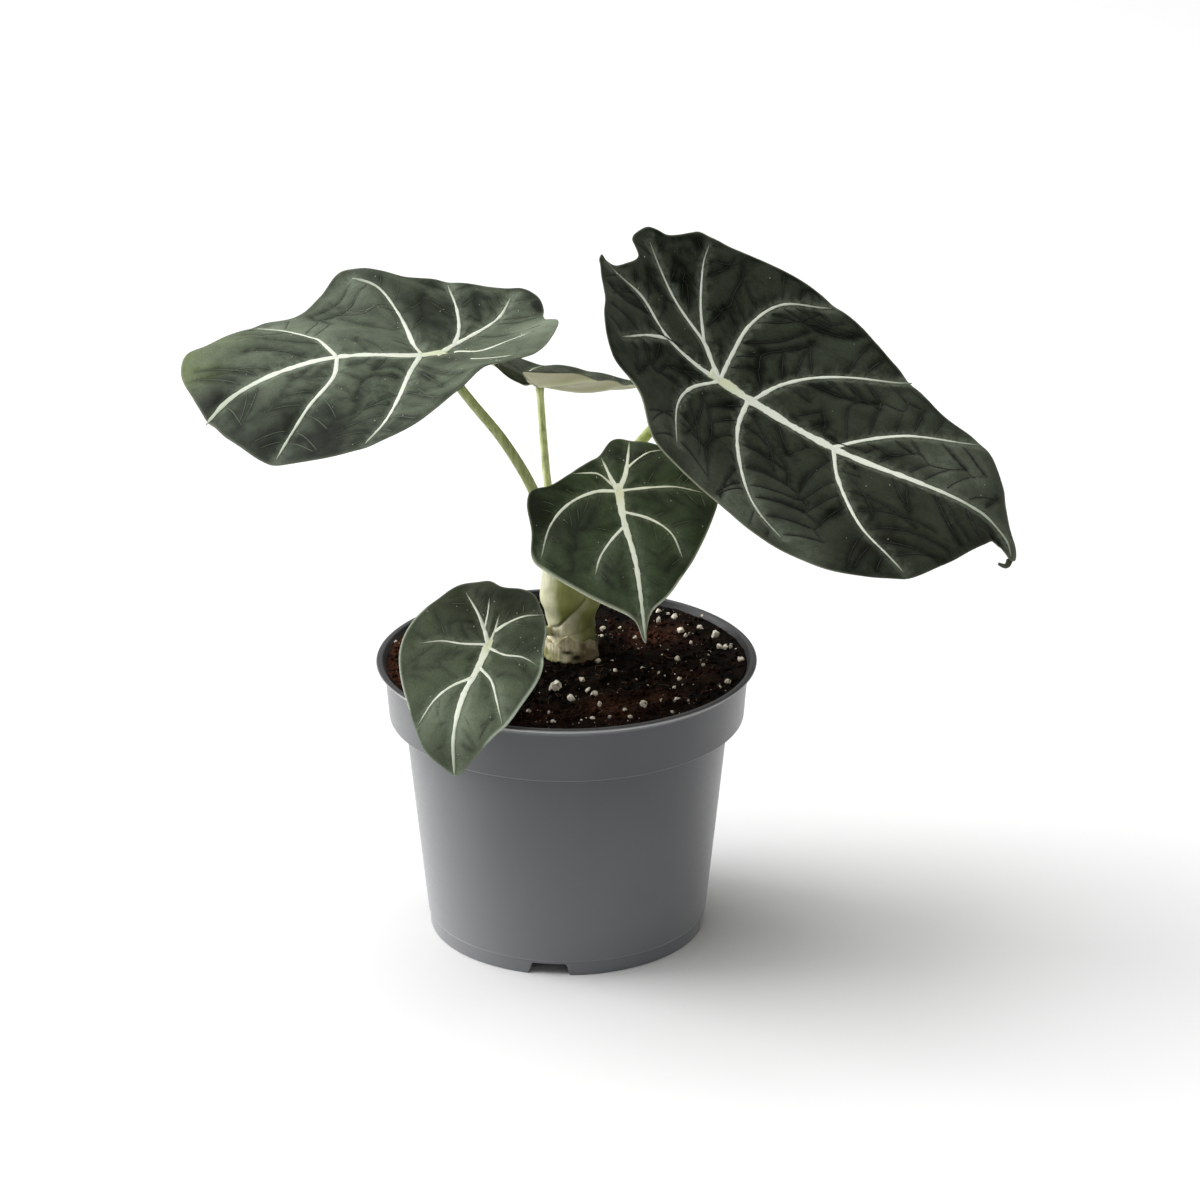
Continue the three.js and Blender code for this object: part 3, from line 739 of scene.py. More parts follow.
@dataclass(frozen=True)
class GrainFinish:
    """Small dry things such as perlite, fibres and dust: one colour, soiled in places."""

    name: str
    clean: Triple
    soiled: Triple

    def build(self) -> bpy.types.Material:
        """Makes the material with soil in its hollows."""
        bench = Bench(self.name, self.clean)
        pits = bench.noise(0.8, 4, 0.7)
        bench.over(bench.band(pits, 0.45, 0.75), self.soiled)
        return bench.finish(
            Roughness=bench.band(pits, out=(0.75, 0.95)), Normal=bench.bump(pits, 0.15),
            Specular_IOR_Level=0.3,
        )


@dataclass(frozen=True)
class FloorFinish:
    """The studio's plain matt white floor."""

    name: str = "studio_floor"
    white: Triple = (238, 238, 238)

    def build(self) -> bpy.types.Material:
        """Makes the material, with a trace of unevenness in its roughness."""
        bench = Bench(self.name, self.white)
        rough = bench.band(bench.noise(30, 2, 0.5), out=(0.85, 0.95))
        return bench.finish(Roughness=rough, Specular_IOR_Level=0.1)


# ---- leaves ----
class Coat(IntEnum):
    """The finish of a leaf's face: the order of its materials."""

    UPPER = 0
    UNDER = 1


class Hand(Enum):
    """The side of a vein that a fold leaves it on, seen from above with the tip ahead."""

    LEFT = 1.0
    RIGHT = -1.0


@dataclass(frozen=True)
class Vein:
    """A raised vein: its width at the hub end and at the far end, and its points on the blade.

    Its width at the share t of its length is start + (end - start) t^hold.
    """

    start: float
    end: float
    points: tuple[Pair, ...]
    hold: float = 0.8

    @cached_property
    def line(self) -> Floats:
        """The vein's smooth middle line, in steps of about VEIN_STEP."""
        curve = spline_through(self.points, False, 12)
        return even_steps(curve, max(int(length_of(curve) / VEIN_STEP), 6))

    @cached_property
    def headings(self) -> Floats:
        """The heading of the line at each of its points, in radians."""
        return np.arctan2(*np.gradient(self.line, axis=0).T[::-1])


@dataclass(frozen=True)
class Folds:
    """The net of small folds that quilts a blade between its veins.

    Attributes:
        height: Height of the pillows between the folds.
        pitch: Distance between folds along a vein.
        thread: Width of the fine line that runs in each fold.
        threaded: Share of each fold that its line runs along.
        angle: Angle in degrees at which a fold leaves its vein, towards the tip.
        bend: How far a fold turns towards the tip for each millimetre, in degrees.
        reach: The longest fold.
        lack: The most that a fold may lack in depth, in millimetres of width.
        dusk: Half width of the dark band along a fold.
    """

    height: float
    pitch: float
    thread: float = 0.35
    threaded: float = 1.0
    angle: float = 64.0
    bend: float = 1.5
    reach: float = 22.0
    lack: float = 1.1
    # dusk: Half width of the band of painted shade along a fold.
    dusk: float = 0.8


@dataclass(frozen=True)
class Patch:
    """A soft round patch on a blade: its middle (u, v), its size and its strength from 0 to 1."""

    u: float
    v: float
    size: float
    amount: float

    def strength(self, u: Floats, v: Floats) -> Floats:
        """Its strength at (u, v): amount exp(-(distance / size)^2)."""
        return self.amount * np.exp(-((u - self.u) ** 2 + (v - self.v) ** 2) / self.size**2)


@dataclass(frozen=True)
class Hem:
    """A pale line along part of the margin, between two polar angles in degrees about the stalk."""

    start: float
    stop: float
    width: float
    amount: float

    def strength(self, u: Floats, v: Floats, inside: Floats) -> Floats:
        """Its strength at (u, v), where inside is the distance from the margin."""
        angle = np.degrees(np.arctan2(v, u))
        window = ease(angle, self.start, self.start + 5) * (1 - ease(angle, self.stop - 5, self.stop))
        return self.amount * window * np.exp(-((inside / self.width) ** 4))


@dataclass
class Thread:
    """A raised thread on the upper face: its (u, v) rows, with half width and mark "run" for each row.

    The mark "line", from crease, is 1 for a line in a fold.
    """

    line: Floats
    half: Floats
    run: Floats
    crease: float = 0.0


@dataclass
class Blade:
    """One leaf blade in its own frame: u along the midrib to the tip, v across to the left, w up.

    A point at the share s of the way from the stalk to the margin has the height
    midrib(u) + s^LIFT_POWER margin_w - VEIN_SINK exp(-(d / VEIN_SPREAD)^2) + pillows + ripples, where d
    is the distance to the nearest vein.
    """

    name: str
    place: Triple
    heading: float
    pitch: float
    roll: float
    midrib: tuple[Pair, ...]
    margin: tuple[Triple, ...]
    veins: tuple[Vein, ...]
    folds: Folds
    spokes: int
    rings: int
    velvet: VelvetFinish
    crease: Triple
    stains: tuple[Patch, ...] = ()
    flushes: tuple[Patch, ...] = ()
    greys: tuple[Patch, ...] = ()
    hems: tuple[Hem, ...] = ()
    small_veins: tuple[Vein, ...] = ()
    curl: tuple[Triple, ...] = ()
    seamed: bool = True
    greying: float = 0.25
    ripple: float = 0.3
    dust: int = 40
    seed: int = 1

    @cached_property
    def axes(self) -> tuple[Floats, Floats, Floats]:
        """Unit vectors along the midrib, across to the left and up from the upper face."""
        a, p, r = np.radians([self.heading, self.pitch, self.roll])
        along = np.array([np.cos(a) * np.cos(p), np.sin(a) * np.cos(p), np.sin(p)])
        level = np.array([-np.sin(a), np.cos(a), 0.0])
        across = level * np.cos(r) + np.cross(along, level) * np.sin(r)
        return along, across, np.cross(along, across)

    @cached_property
    def grain(self) -> Grain:
        """The blade's own noise."""
        return Grain(self.seed)

    @cached_property
    def rim(self) -> Floats:
        """Close samples of the margin, as rows of polar angle, reach from the stalk and height."""
        curve = spline_through(self.margin, True, 24)
        angle = np.arctan2(curve[:, 1], curve[:, 0])
        return np.column_stack([angle, np.hypot(curve[:, 0], curve[:, 1]), curve[:, 2]])

    def to_rim(self, u: Floats, v: Floats) -> tuple[Floats, Floats, Floats]:
        """At (u, v): the share of the way to the margin, and the margin's reach and height there."""
        angle = np.arctan2(v, u)
        reach = np.interp(angle, self.rim[:, 0], self.rim[:, 1], period=2 * np.pi)
        high = np.interp(angle, self.rim[:, 0], self.rim[:, 2], period=2 * np.pi)
        return np.hypot(u, v) / reach, reach, high

    def vein_distances(self, u: Floats, v: Floats) -> tuple[Floats, Floats, Ints, Ints]:
        """Distances to the nearest and the second vein, and the numbers of those two."""
        every = self.each_distance(u, v)
        order = np.argsort(every, axis=0)
        first = np.take_along_axis(every, order[:1], 0)[0]
        second = np.take_along_axis(every, order[1:2], 0)[0]
        return first, second, order[0], order[1]

    def each_distance(self, u: Floats, v: Floats) -> Floats:
        """The distance from each (u, v) to each vein, one vein a row."""
        return np.stack([line_distance(u, v, vein.line) for vein in self.veins])

    def fold_starts(self, dice: np.random.Generator) -> tuple[Floats, Floats, Ints, Floats]:
        """Where folds leave the veins, on both sides.

        Args:
            dice: The seeded random source.

        Returns:
            Places, headings in radians, the numbers of the veins, and 1 or -1 for the side.
        """
        at, way, owner, hand = [], [], [], []
        for number, vein in enumerate(self.veins):
            stations = np.arange(2.5, VEIN_STEP * len(vein.line) - 2.0, self.folds.pitch)
            for side in Hand:
                spots = stations + dice.uniform(0, 0.8 * self.folds.pitch, len(stations))
                k = np.minimum((spots / VEIN_STEP).astype(int), len(vein.line) - 1)
                at.append(vein.line[k])
                lean = np.radians(self.folds.angle + dice.normal(0, 9, len(k)))
                way.append(vein.headings[k] + side.value * lean)
                owner.append(np.full(len(k), number))
                hand.append(np.full(len(k), side.value))
        return np.concatenate(at), np.concatenate(way), np.concatenate(owner), np.concatenate(hand)

    @cached_property
    def creases(self) -> tuple[list[Floats], list[Floats]]:
        """The folds, and the zigzag seams that join their ends between two veins.

        Each fold leaves its vein at an angle, bends to the tip and stops a little short of the middle
        line between its vein and the next. A seam joins the ends from both veins, in order from the hub.

        Returns:
            Lines of (u, v) points: the folds, and the seams.
        """
        dice = np.random.default_rng(self.seed)
        at, way, owner, hand = self.fold_starts(dice)
        shy, met = dice.uniform(0.1, 1.7, len(at)), np.full(len(at), -1)
        alive, trail = np.ones(len(at), bool), [at.copy()]
        for _ in range(int(self.folds.reach / FOLD_STEP)):
            at = at + FOLD_STEP * np.column_stack([np.cos(way), np.sin(way)]) * alive[:, None]
            way = way - hand * np.radians(self.folds.bend) * FOLD_STEP
            near, second, own, other = self.vein_distances(at[:, 0], at[:, 1])
            short = (own != owner) | ((second - near) / 2 < shy)
            met = np.where(alive & short, np.where(own != owner, own, other), met)
            alive &= ~short & (self.to_rim(at[:, 0], at[:, 1])[0] < 0.975)
            trail.append(np.where(alive[:, None], at, np.nan))
        lines = np.stack(trail, 1)
        counts = np.isfinite(lines[:, :, 0]).sum(1)
        kept = counts > 3
        folds = [line[:count] for line, count in zip(lines[kept], counts[kept])]
        pairs = np.sort(np.column_stack([owner, met]), axis=1)[kept]
        return folds, self.seams(np.array([line[-1] for line in folds]), pairs)

    def seams(self, ends: Floats, pairs: Ints) -> list[Floats]:
        """Joins fold ends into seams.

        Args:
            ends: The end of each fold.
            pairs: The two veins that each fold lies between, or -1 first for a fold that met the margin.

        Returns:
            Lines of (u, v) points.
        """
        lines = []
        for pair in np.unique(pairs[pairs[:, 0] >= 0], axis=0):
            chain = ends[(pairs == pair).all(1)]
            chain = chain[np.argsort(np.hypot(*chain.T))]
            gaps = np.linalg.norm(np.diff(chain, axis=0), axis=1)
            for part in np.split(chain, np.flatnonzero(gaps > 2.0 * self.folds.pitch) + 1):
                if len(part) > 1:
                    count = max(int(length_of(part) / FOLD_STEP), 4)
                    lines.append(even_steps(spline_through(part, False, 8), count))
        return lines

    @cached_property
    def grooves(self) -> list[tuple[Floats, float]]:
        """Short stretches of every fold and seam, each with the depth that it lacks in millimetres."""
        dice = np.random.default_rng(self.seed + Seed.GROOVES)
        folds, seams = self.creases
        parts = []
        for line in (*folds, *seams):
            lack = dice.uniform(0.0, self.folds.lack)
            parts.extend((line[k:k + 9], lack) for k in range(0, len(line) - 1, 8))
        return parts

    def relief(
        self, u: Floats, v: Floats, share: Floats, reach: Floats
    ) -> tuple[Floats, dict[str, Floats]]:
        """The height of the fine relief and the marks that go with it.

        Pillows rise as 1 - exp(-(sqrt(d^2 + FOLD_SOFT^2) - FOLD_SOFT) / PILLOW_RUN) with the distance d
        to the nearest crease.

        Args:
            u: Places along the midrib.
            v: Places across it.
            share: Share of the way to the margin.
            reach: Reach of the margin on each spoke.

        Returns:
            Heights without the midrib and margin curves, and marks by name.
        """
        every = self.each_distance(u, v)
        near = every.min(0)
        half = np.array([vein.start / 2 for vein in self.veins])
        clear = np.moveaxis(np.moveaxis(every, 0, -1) - half, -1, 0).min(0)
        where = np.stack([u, v], -1)
        to_fold = np.full(np.shape(u), FAR)
        for line, lack in self.grooves:
            low, high = line.min(0) - 6, line.max(0) + 6
            box = (u > low[0]) & (u < high[0]) & (v > low[1]) & (v < high[1])
            if box.any():
                to_fold[box] = np.minimum(to_fold[box], line_distance(u[box], v[box], line) + lack)
        inside = reach * (1 - share)
        fade = ease(clear, 0.15, 2.2) * ease(inside, 0.3, 4.0)
        round_fold = np.sqrt(to_fold**2 + FOLD_SOFT**2) - FOLD_SOFT
        pillow = self.folds.height * (1 - np.exp(-round_fold / PILLOW_RUN)) * fade
        waves = self.ripple * self.grain.rough(where + 40, 11.0, 2) * ease(share, 0.3, 1.0)
        small = np.full(np.shape(u), FAR)
        for vein in self.small_veins:
            small = np.minimum(small, line_distance(u, v, vein.line))
        sink = VEIN_SINK * bump_at(near, 0, VEIN_SPREAD) + 0.3 * bump_at(small, 0, 1.4)
        mottle = 1 + 0.45 * self.grain.rough(where, 7.0, 3)
        feather = 1.5 + 0.9 * self.grain.rough(where + 15, 2.6, 2)
        edge = sum((hem.strength(u, v, inside) for hem in self.hems), 0.3 * bump_at(inside, 0, 0.4))
        marks = {
            # painted shade in a band along each fold
            "groove": bump_at(to_fold, 0, self.folds.dusk) * fade,
            # painted highlight on the pillow tops, away from the folds
            "crest": ease(to_fold, 0.9, 3.2) * fade,
            "halo": bump_at(np.maximum(clear, 0), 0, np.maximum(feather, 0.4)),
            "edge": np.clip(edge, 0, 1),
            "ridge": bump_at(near, 0, 1.2),
        }
        for name, patches in (("stain", self.stains), ("flush", self.flushes), ("grey", self.greys)):
            amount = sum((patch.strength(u, v) for patch in patches), np.zeros(np.shape(u)))
            marks[name] = np.clip(amount * mottle, 0, 1)
        return pillow + waves - sink, marks

    def on_face(self, u: Floats, v: Floats, w: Floats) -> Floats:
        """Points of the plant's frame at (u, v, w) of the blade's frame."""
        along, across, up = self.axes
        return np.array(self.place) + u[..., None] * along + v[..., None] * across + w[..., None] * up

    def skin(self, u: Floats, v: Floats) -> tuple[Floats, dict[str, Floats]]:
        """Height w of the upper face at any (u, v), with its marks."""
        share, reach, rim_high = self.to_rim(u, v)
        fine, marks = self.relief(u, v, share, reach)
        return height_through(u, self.midrib) + share**LIFT_POWER * rim_high + fine, marks

    def sheet(self) -> Shell:
        """The blade itself: rings of points from the stalk to the margin, on both faces.

        The upper face has all spokes and rings, and the lower face every second one. Spokes are kept in
        order of bearing. The blade thins from BLADE_T to MARGIN_T, with ridges under the veins.

        Returns:
            The closed blade, with the coats UPPER and UNDER.
        """
        margin = even_steps(spline_through(self.margin, True, 24), self.spokes, True, 3.0)
        turn = 0.0004 * np.arange(self.spokes)
        angle = np.unwrap(np.arctan2(margin[:, 1], margin[:, 0]))
        angle = np.maximum.accumulate(angle - turn) + turn
        away = np.column_stack([np.cos(angle), np.sin(angle)])
        margin[:, :2] = np.hypot(*margin[:, :2].T)[:, None] * away
        share = np.linspace(0, 1, self.rings + 1)[1:, None] ** 0.85
        u, v = share * margin[None, :, 0], share * margin[None, :, 1]
        reach = np.broadcast_to(np.hypot(margin[:, 0], margin[:, 1]), u.shape)
        spread = np.broadcast_to(share, u.shape)
        fine, marks = self.relief(u, v, spread, reach)
        w = height_through(u, self.midrib) + spread**LIFT_POWER * margin[None, :, 2] + fine
        top = self.on_face(u, v, w)
        outward = np.gradient(top, axis=0)
        around = np.roll(top, -1, 1) - np.roll(top, 1, 1)
        normal = unit(np.cross(outward, around))
        inside = reach * (1 - spread)
        thick = MARGIN_T + (BLADE_T - MARGIN_T) * ease(inside, 0, 7)
        thick = thick + 0.5 * marks["ridge"] * ease(inside, 1, 12)
        under = (top - normal * thick[..., None])[1::2, ::2]
        hub_w, hub_marks = self.skin(np.zeros(1), np.zeros(1))
        hub = self.on_face(np.zeros(1), np.zeros(1), hub_w)
        low_hub = hub - self.axes[2] * BLADE_T
        n, m = self.spokes, self.spokes // 2
        low_start = self.rings * n
        hub_at, low_hub_at = low_start + under.shape[0] * m, low_start + under.shape[0] * m + 1
        j, k = np.arange(n), (np.arange(n) + 1) % n
        p, q = np.arange(m), (np.arange(m) + 1) % m
        low_last = low_start + (under.shape[0] - 1) * m
        rim_start = (self.rings - 1) * n
        t0, t1, t2 = rim_start + 2 * p, rim_start + 2 * p + 1, rim_start + (2 * p + 2) % n
        b0, b1 = low_last + p, low_last + q
        edge_faces = np.vstack([
            np.column_stack([t0, b0, t1]), np.column_stack([t1, b0, b1]), np.column_stack([t1, b1, t2]),
        ])
        faces = [
            ring_quads(self.rings, n)[:, ::-1],
            np.column_stack([np.full(n, hub_at), j, k]),
            ring_quads(under.shape[0], m) + low_start,
            np.column_stack([np.full(m, low_hub_at), low_start + q, low_start + p]),
            edge_faces,
        ]
        kept = {
            name: np.concatenate([value.ravel(), value[1::2, ::2].ravel(), [hub_marks[name][0]] * 2])
            for name, value in marks.items()
        }
        points = np.vstack([top.reshape(-1, 3), under.reshape(-1, 3), hub, low_hub])
        coats = [Coat.UPPER, Coat.UPPER, Coat.UNDER, Coat.UNDER, Coat.UPPER]
        return Shell(points, faces, [int(coat) for coat in coats], kept)

    def curl_shell(self) -> Shell:
        """The drip tip's small barb: a tube along curl, thinning to its point."""
        curve = spline_through(self.curl, False, 8)
        path = even_steps(self.on_face(curve[:, 0], curve[:, 1], curve[:, 2]), 22)
        radius = 1.05 - 0.6 * np.linspace(0, 1, 22) ** 1.2
        return capped_tube(tube_along(path, radius, 10), {"flush": np.full((22, 10), 0.8)})

    def laid(self, threads: list[Thread], crown: float, lift: float, fine: bool) -> Shell:
        """Threads that follow the upper face: a lens-shaped section carried along each line.

        Args:
            threads: The threads to lay.
            crown: Height of a thread's middle over its edges.
            lift: Height of its edges over the face.
            fine: Whether they get a plain section of four points, all marked as flank.

        Returns:
            The closed threads in one shape.
        """
        over = np.array([1.0, 0.0, -1.0]) if fine else np.array([1.0, 0.82, 0.0, -0.82, -1.0])
        below = np.array([0.0]) if fine else np.array([-0.6, 0.6])
        place = np.concatenate([over, below])
        arch = np.concatenate([lift + crown * (1 - over**2), np.full(len(below), -0.35)])
        spread = []
        for thread in threads:
            way = unit(np.gradient(thread.line, axis=0))
            aside = np.column_stack([-way[:, 1], way[:, 0]])
            across = (thread.half[:, None] * place[None])[..., None]
            spread.append(thread.line[:, None] + aside[:, None] * across)
        flat = np.concatenate(spread)
        rings = self.on_face(flat[..., 0], flat[..., 1], self.skin(flat[..., 0], flat[..., 1])[0] + arch)
        stops = np.cumsum([len(part) for part in spread])[:-1]
        shells = []
        for thread, ring in zip(threads, np.split(rings, stops)):
            marks = {
                "run": np.broadcast_to(thread.run[:, None], ring.shape[:2]),
                "flank": np.broadcast_to(fine or np.abs(place) > 0.9, ring.shape[:2]).astype(float),
                "line": np.full(ring.shape[:2], thread.crease),
            }
            shells.append(capped_tube(ring, marks))
        return fused(shells)

    def vein_shell(self) -> Shell:
        """All the raised veins, each tapering from its start to its end with a slightly uneven edge."""
        threads = []
        longest = max(len(vein.line) for vein in self.veins)
        for number, vein in enumerate((*self.veins, *self.small_veins)):
            t = np.linspace(0, 1, len(vein.line))
            wide = vein.start + (vein.end - vein.start) * t**vein.hold
            wide = wide * (1 + 0.24 * self.grain.rough(vein.line, 2.2, 3))
            wide[-3:] *= np.array([0.85, 0.6, 0.3])
            run = np.hypot(*vein.line.T) / (VEIN_STEP * longest)
            if number:
                run = np.maximum(run, self.greying + (0.95 - self.greying) * t**1.5)
            if number >= len(self.veins):
                run = np.maximum(run, 0.65)
            threads.append(Thread(vein.line, wide / 2, np.clip(run, 0, 1)))
        return self.laid(threads, 0.16, 0.05, False)

    def feather_shell(self) -> Shell:
        """Short hair-fine threads that leave both edges of every vein and soften its outline."""
        dice = np.random.default_rng(self.seed + Seed.FEATHERS)
        t = np.linspace(0, 1, 5)
        threads = []
        for vein in (*self.veins, *self.small_veins):
            count = int(1.1 * len(vein.line))
            for side in Hand:
                k = dice.integers(1, int(0.9 * len(vein.line)) - 1, count)
                lean = vein.headings[k] + side.value * np.radians(dice.normal(36, 10, count))
                stretch = 1 - 0.5 * k / len(vein.line)
                length = (0.3 * vein.start + dice.uniform(0.3, 1.0, count) ** 3 * 2.0) * stretch
                way = np.column_stack([np.cos(lean), np.sin(lean)]) * length[:, None]
                lines = vein.line[k][:, None] + way[:, None] * t[None, :, None]
                half = dice.uniform(0.035, 0.075, count)[:, None] * (1 - 0.8 * t)[None]
                threads.extend(Thread(line, thin, 0 * t + 0.3) for line, thin in zip(lines, half))
        return self.laid(threads, 0.03, 0.01, True)

    def line_shell(self) -> Shell:
        """The fine lines in the folds and seams, which fade out at their ends."""
        folds, seams = self.creases
        threads = []
        half_vein = np.array([[vein.start / 2] for vein in self.veins])
        for line in (*folds, *(seams if self.seamed else ())):
            part = line[:max(int(len(line) * self.folds.threaded), 4)]
            part = part[(self.each_distance(*part.T) - half_vein).min(0) > 0.3]
            if len(part) < 4:
                continue
            t = np.linspace(0, 1, len(part))
            half = self.folds.thread / 2 * (0.25 + 0.75 * np.sin(np.pi * np.clip(0.12 + 0.85 * t, 0, 1)))
            threads.append(Thread(part, half * (1 + 0.3 * self.grain.at(part, 2.0)), 0 * t, 1.0))
        return self.laid(threads, 0.04, 0.05 + 0.14 * self.folds.height, True)

    def dust_shell(self) -> Shell:
        """White specks of dust, each a small eight-faced grain on the upper face."""
        dice = np.random.default_rng(self.seed + Seed.DUST)
        margin = spline_through(self.margin, True, 24)
        spot = margin[dice.integers(0, len(margin), self.dust)]
        u, v = np.sqrt(dice.uniform(0.02, 0.9, self.dust)) * spot[:, :2].T
        w, _ = self.skin(u, v)
        size = dice.uniform(0.12, 0.32, self.dust) * dice.uniform(0.6, 1.0, self.dust)
        return scattered(Lump.SPECK, self.on_face(u, v, w + 0.05), size, (1.0, 1.0, 0.7), dice)

    def build(self, underside: bpy.types.Material, dust: bpy.types.Material) -> None:
        """Makes the blade, its veins with their feathers and crease lines, and its dust.

        Args:
            underside: Finish of the lower face.
            dust: Finish of the dust.
        """
        slot = f"blade_{self.name}"
        leaf = fused([self.sheet(), self.curl_shell()]) if self.curl else self.sheet()
        make_piece(f"leaf_{self.name}", leaf, [self.velvet.build(), underside], (slot,))
        silver = VeinFinish(f"veins_{self.name}", self.crease, flank=self.velvet.halo).build()
        threads = fused([self.vein_shell(), self.line_shell(), self.feather_shell()])
        make_piece(f"veins_{self.name}", threads, [silver])
        make_piece(f"dust_{self.name}", self.dust_shell(), [dust])


# ---- small scattered things ----
class Lump(Enum):
    """The plain forms that scattered things start from."""

    SPECK = "eight faces"
    CRUMB = "twenty faces"
    PEBBLE = "eighty faces"

    def form(self) -> tuple[Floats, Ints]:
        """Points on the unit sphere and their triangles, facing out."""
        if self is Lump.SPECK:
            east, north, up_end = np.eye(3)
            points = np.array([east, north, -east, -north, up_end, -up_end])
            ring = np.arange(4)
            up = np.column_stack([ring, (ring + 1) % 4, np.full(4, 4)])
            down = np.column_stack([(ring + 1) % 4, ring, np.full(4, 5)])
            return points, np.vstack([up, down])
        golden = (1 + math.sqrt(5)) / 2
        low = np.array([[s, t * golden, 0] for s in (-1, 1) for t in (-1, 1)], float)
        points = unit(np.vstack([low, np.roll(low, 1, 1), np.roll(low, 2, 1)]))
        near = np.linalg.norm(points[:, None] - points[None], axis=-1) < 1.1
        corners = [
            (a, b, c) for a in range(12) for b in range(a + 1, 12) for c in range(b + 1, 12)
            if near[a, b] and near[b, c] and near[a, c]
        ]
        faces = facing_out(points, np.array(corners))
        if self is Lump.CRUMB:
            return points, faces
        return halved(points, faces)


def facing_out(points: Floats, faces: Ints) -> Ints:
    """Turns each triangle so that it faces away from the origin."""
    a, b, c = (points[faces[:, k]] for k in range(3))
    inward = (np.cross(b - a, c - a) * a).sum(1) < 0
    faces[inward] = faces[inward][:, ::-1]
    return faces


def halved(points: Floats, faces: Ints) -> tuple[Floats, Ints]:
    """Splits each triangle of a sphere into four, with the new points pushed out to the sphere."""
    sides = np.sort(np.vstack([faces[:, [0, 1]], faces[:, [1, 2]], faces[:, [2, 0]]]), axis=1)
    edges, which = np.unique(sides, axis=0, return_inverse=True)
    ab, bc, ca = which.reshape(3, -1) + len(points)
    a, b, c = faces.T
    middle = unit(points[edges].mean(1))
    split = np.vstack([
        np.column_stack(part) for part in ((a, ab, ca), (ab, b, bc), (ca, bc, c), (ab, bc, ca))
    ])
    return np.vstack([points, middle]), split


def scattered(
    lump: Lump, centres: Floats, sizes: Floats, squash: Triple, dice: np.random.Generator,
    uneven: float = 0.3,
) -> Shell:
    """Copies of one lump, each with its own turn, size and uneven points, joined in one shape.

    Args:
        lump: The form to copy.
        centres: One centre a row.
        sizes: One radius for each copy.
        squash: Factors along the copy's own axes, before it is turned.
        dice: The seeded random source.
        uneven: How far each point may stand in or out, as a share of the radius.

    Returns:
        The joined shape, with the random mark "tone" for each copy.
    """
    form, faces = lump.form()
    count = len(centres)
    spin, _ = np.linalg.qr(dice.normal(size=(count, 3, 3)))
    spin *= np.sign(np.linalg.det(spin))[:, None, None]
    stretch = np.array(squash) * dice.uniform(0.8, 1.2, (count, 1, 3))
    local = form[None] * stretch * (1 + uneven * dice.uniform(-1, 1, (count, len(form), 1)))
    points = centres[:, None] + sizes[:, None, None] * np.einsum("nij,nkj->nki", spin, local)
    shift = (np.arange(count) * len(form))[:, None, None]
    tone = np.repeat(dice.uniform(0, 1, count), len(form))
    return Shell(points.reshape(-1, 3), [(faces[None] + shift).reshape(-1, 3)], [0], {"tone": tone})


# ---- stalks, rootstock and sheath ----
@dataclass
class Stalk:
    """A leaf stalk: a round tube from its seat in the rootstock to the underside of its blade.

    The radius is radius_foot + (radius_top - radius_foot) t, with a flare at the foot and a joint at the
    top: + flare exp(-t / 0.06) + joint exp(-((1 - t) / 0.035)^2). Its last 2% narrow under the blade.
    """

    blade: Blade
    foot: Triple
    path: tuple[Triple, ...]
    radius_foot: float
    radius_top: float
    finish: FleshFinish
    flare: float = 0.5
    joint: float = 0.5
    sides: int = 22
    steps: int = 70

    def build(self) -> None:
        """Makes the stalk with lengthwise ribs 0.04 mm high, and marks its foot and its top joint."""
        end = np.array(self.blade.place) - self.blade.axes[2] * (BLADE_T + VEIN_SINK - 0.3)
        curve = spline_through(np.vstack([self.foot, *self.path, end]), False, 16)
        path = even_steps(curve, self.steps)
        t = np.linspace(0, 1, self.steps)
        radius = self.radius_foot + (self.radius_top - self.radius_foot) * t
        radius = radius + self.flare * np.exp(-t / 0.06) + self.joint * bump_at(t, 1, 0.035)
        radius = radius * np.sqrt(np.clip((1 - t) / 0.02, 0.1, 1))
        a = np.linspace(0, 2 * np.pi, self.sides, endpoint=False)
        ribs = 0.04 * np.sin(5 * a)[None] * np.ones((self.steps, 1))
        rings = tube_along(path, radius, self.sides, ribs)
        marks = {
            "foot": np.broadcast_to(np.exp(-t / 0.12)[:, None], ribs.shape),
            "shade": np.broadcast_to(0.75 * ease(t, 0.955, 0.995)[:, None], ribs.shape),
        }
        node = f"stalk_{self.blade.name}"
        make_piece(f"{node}_flesh", capped_tube(rings, marks), [self.finish.build()], (node,))


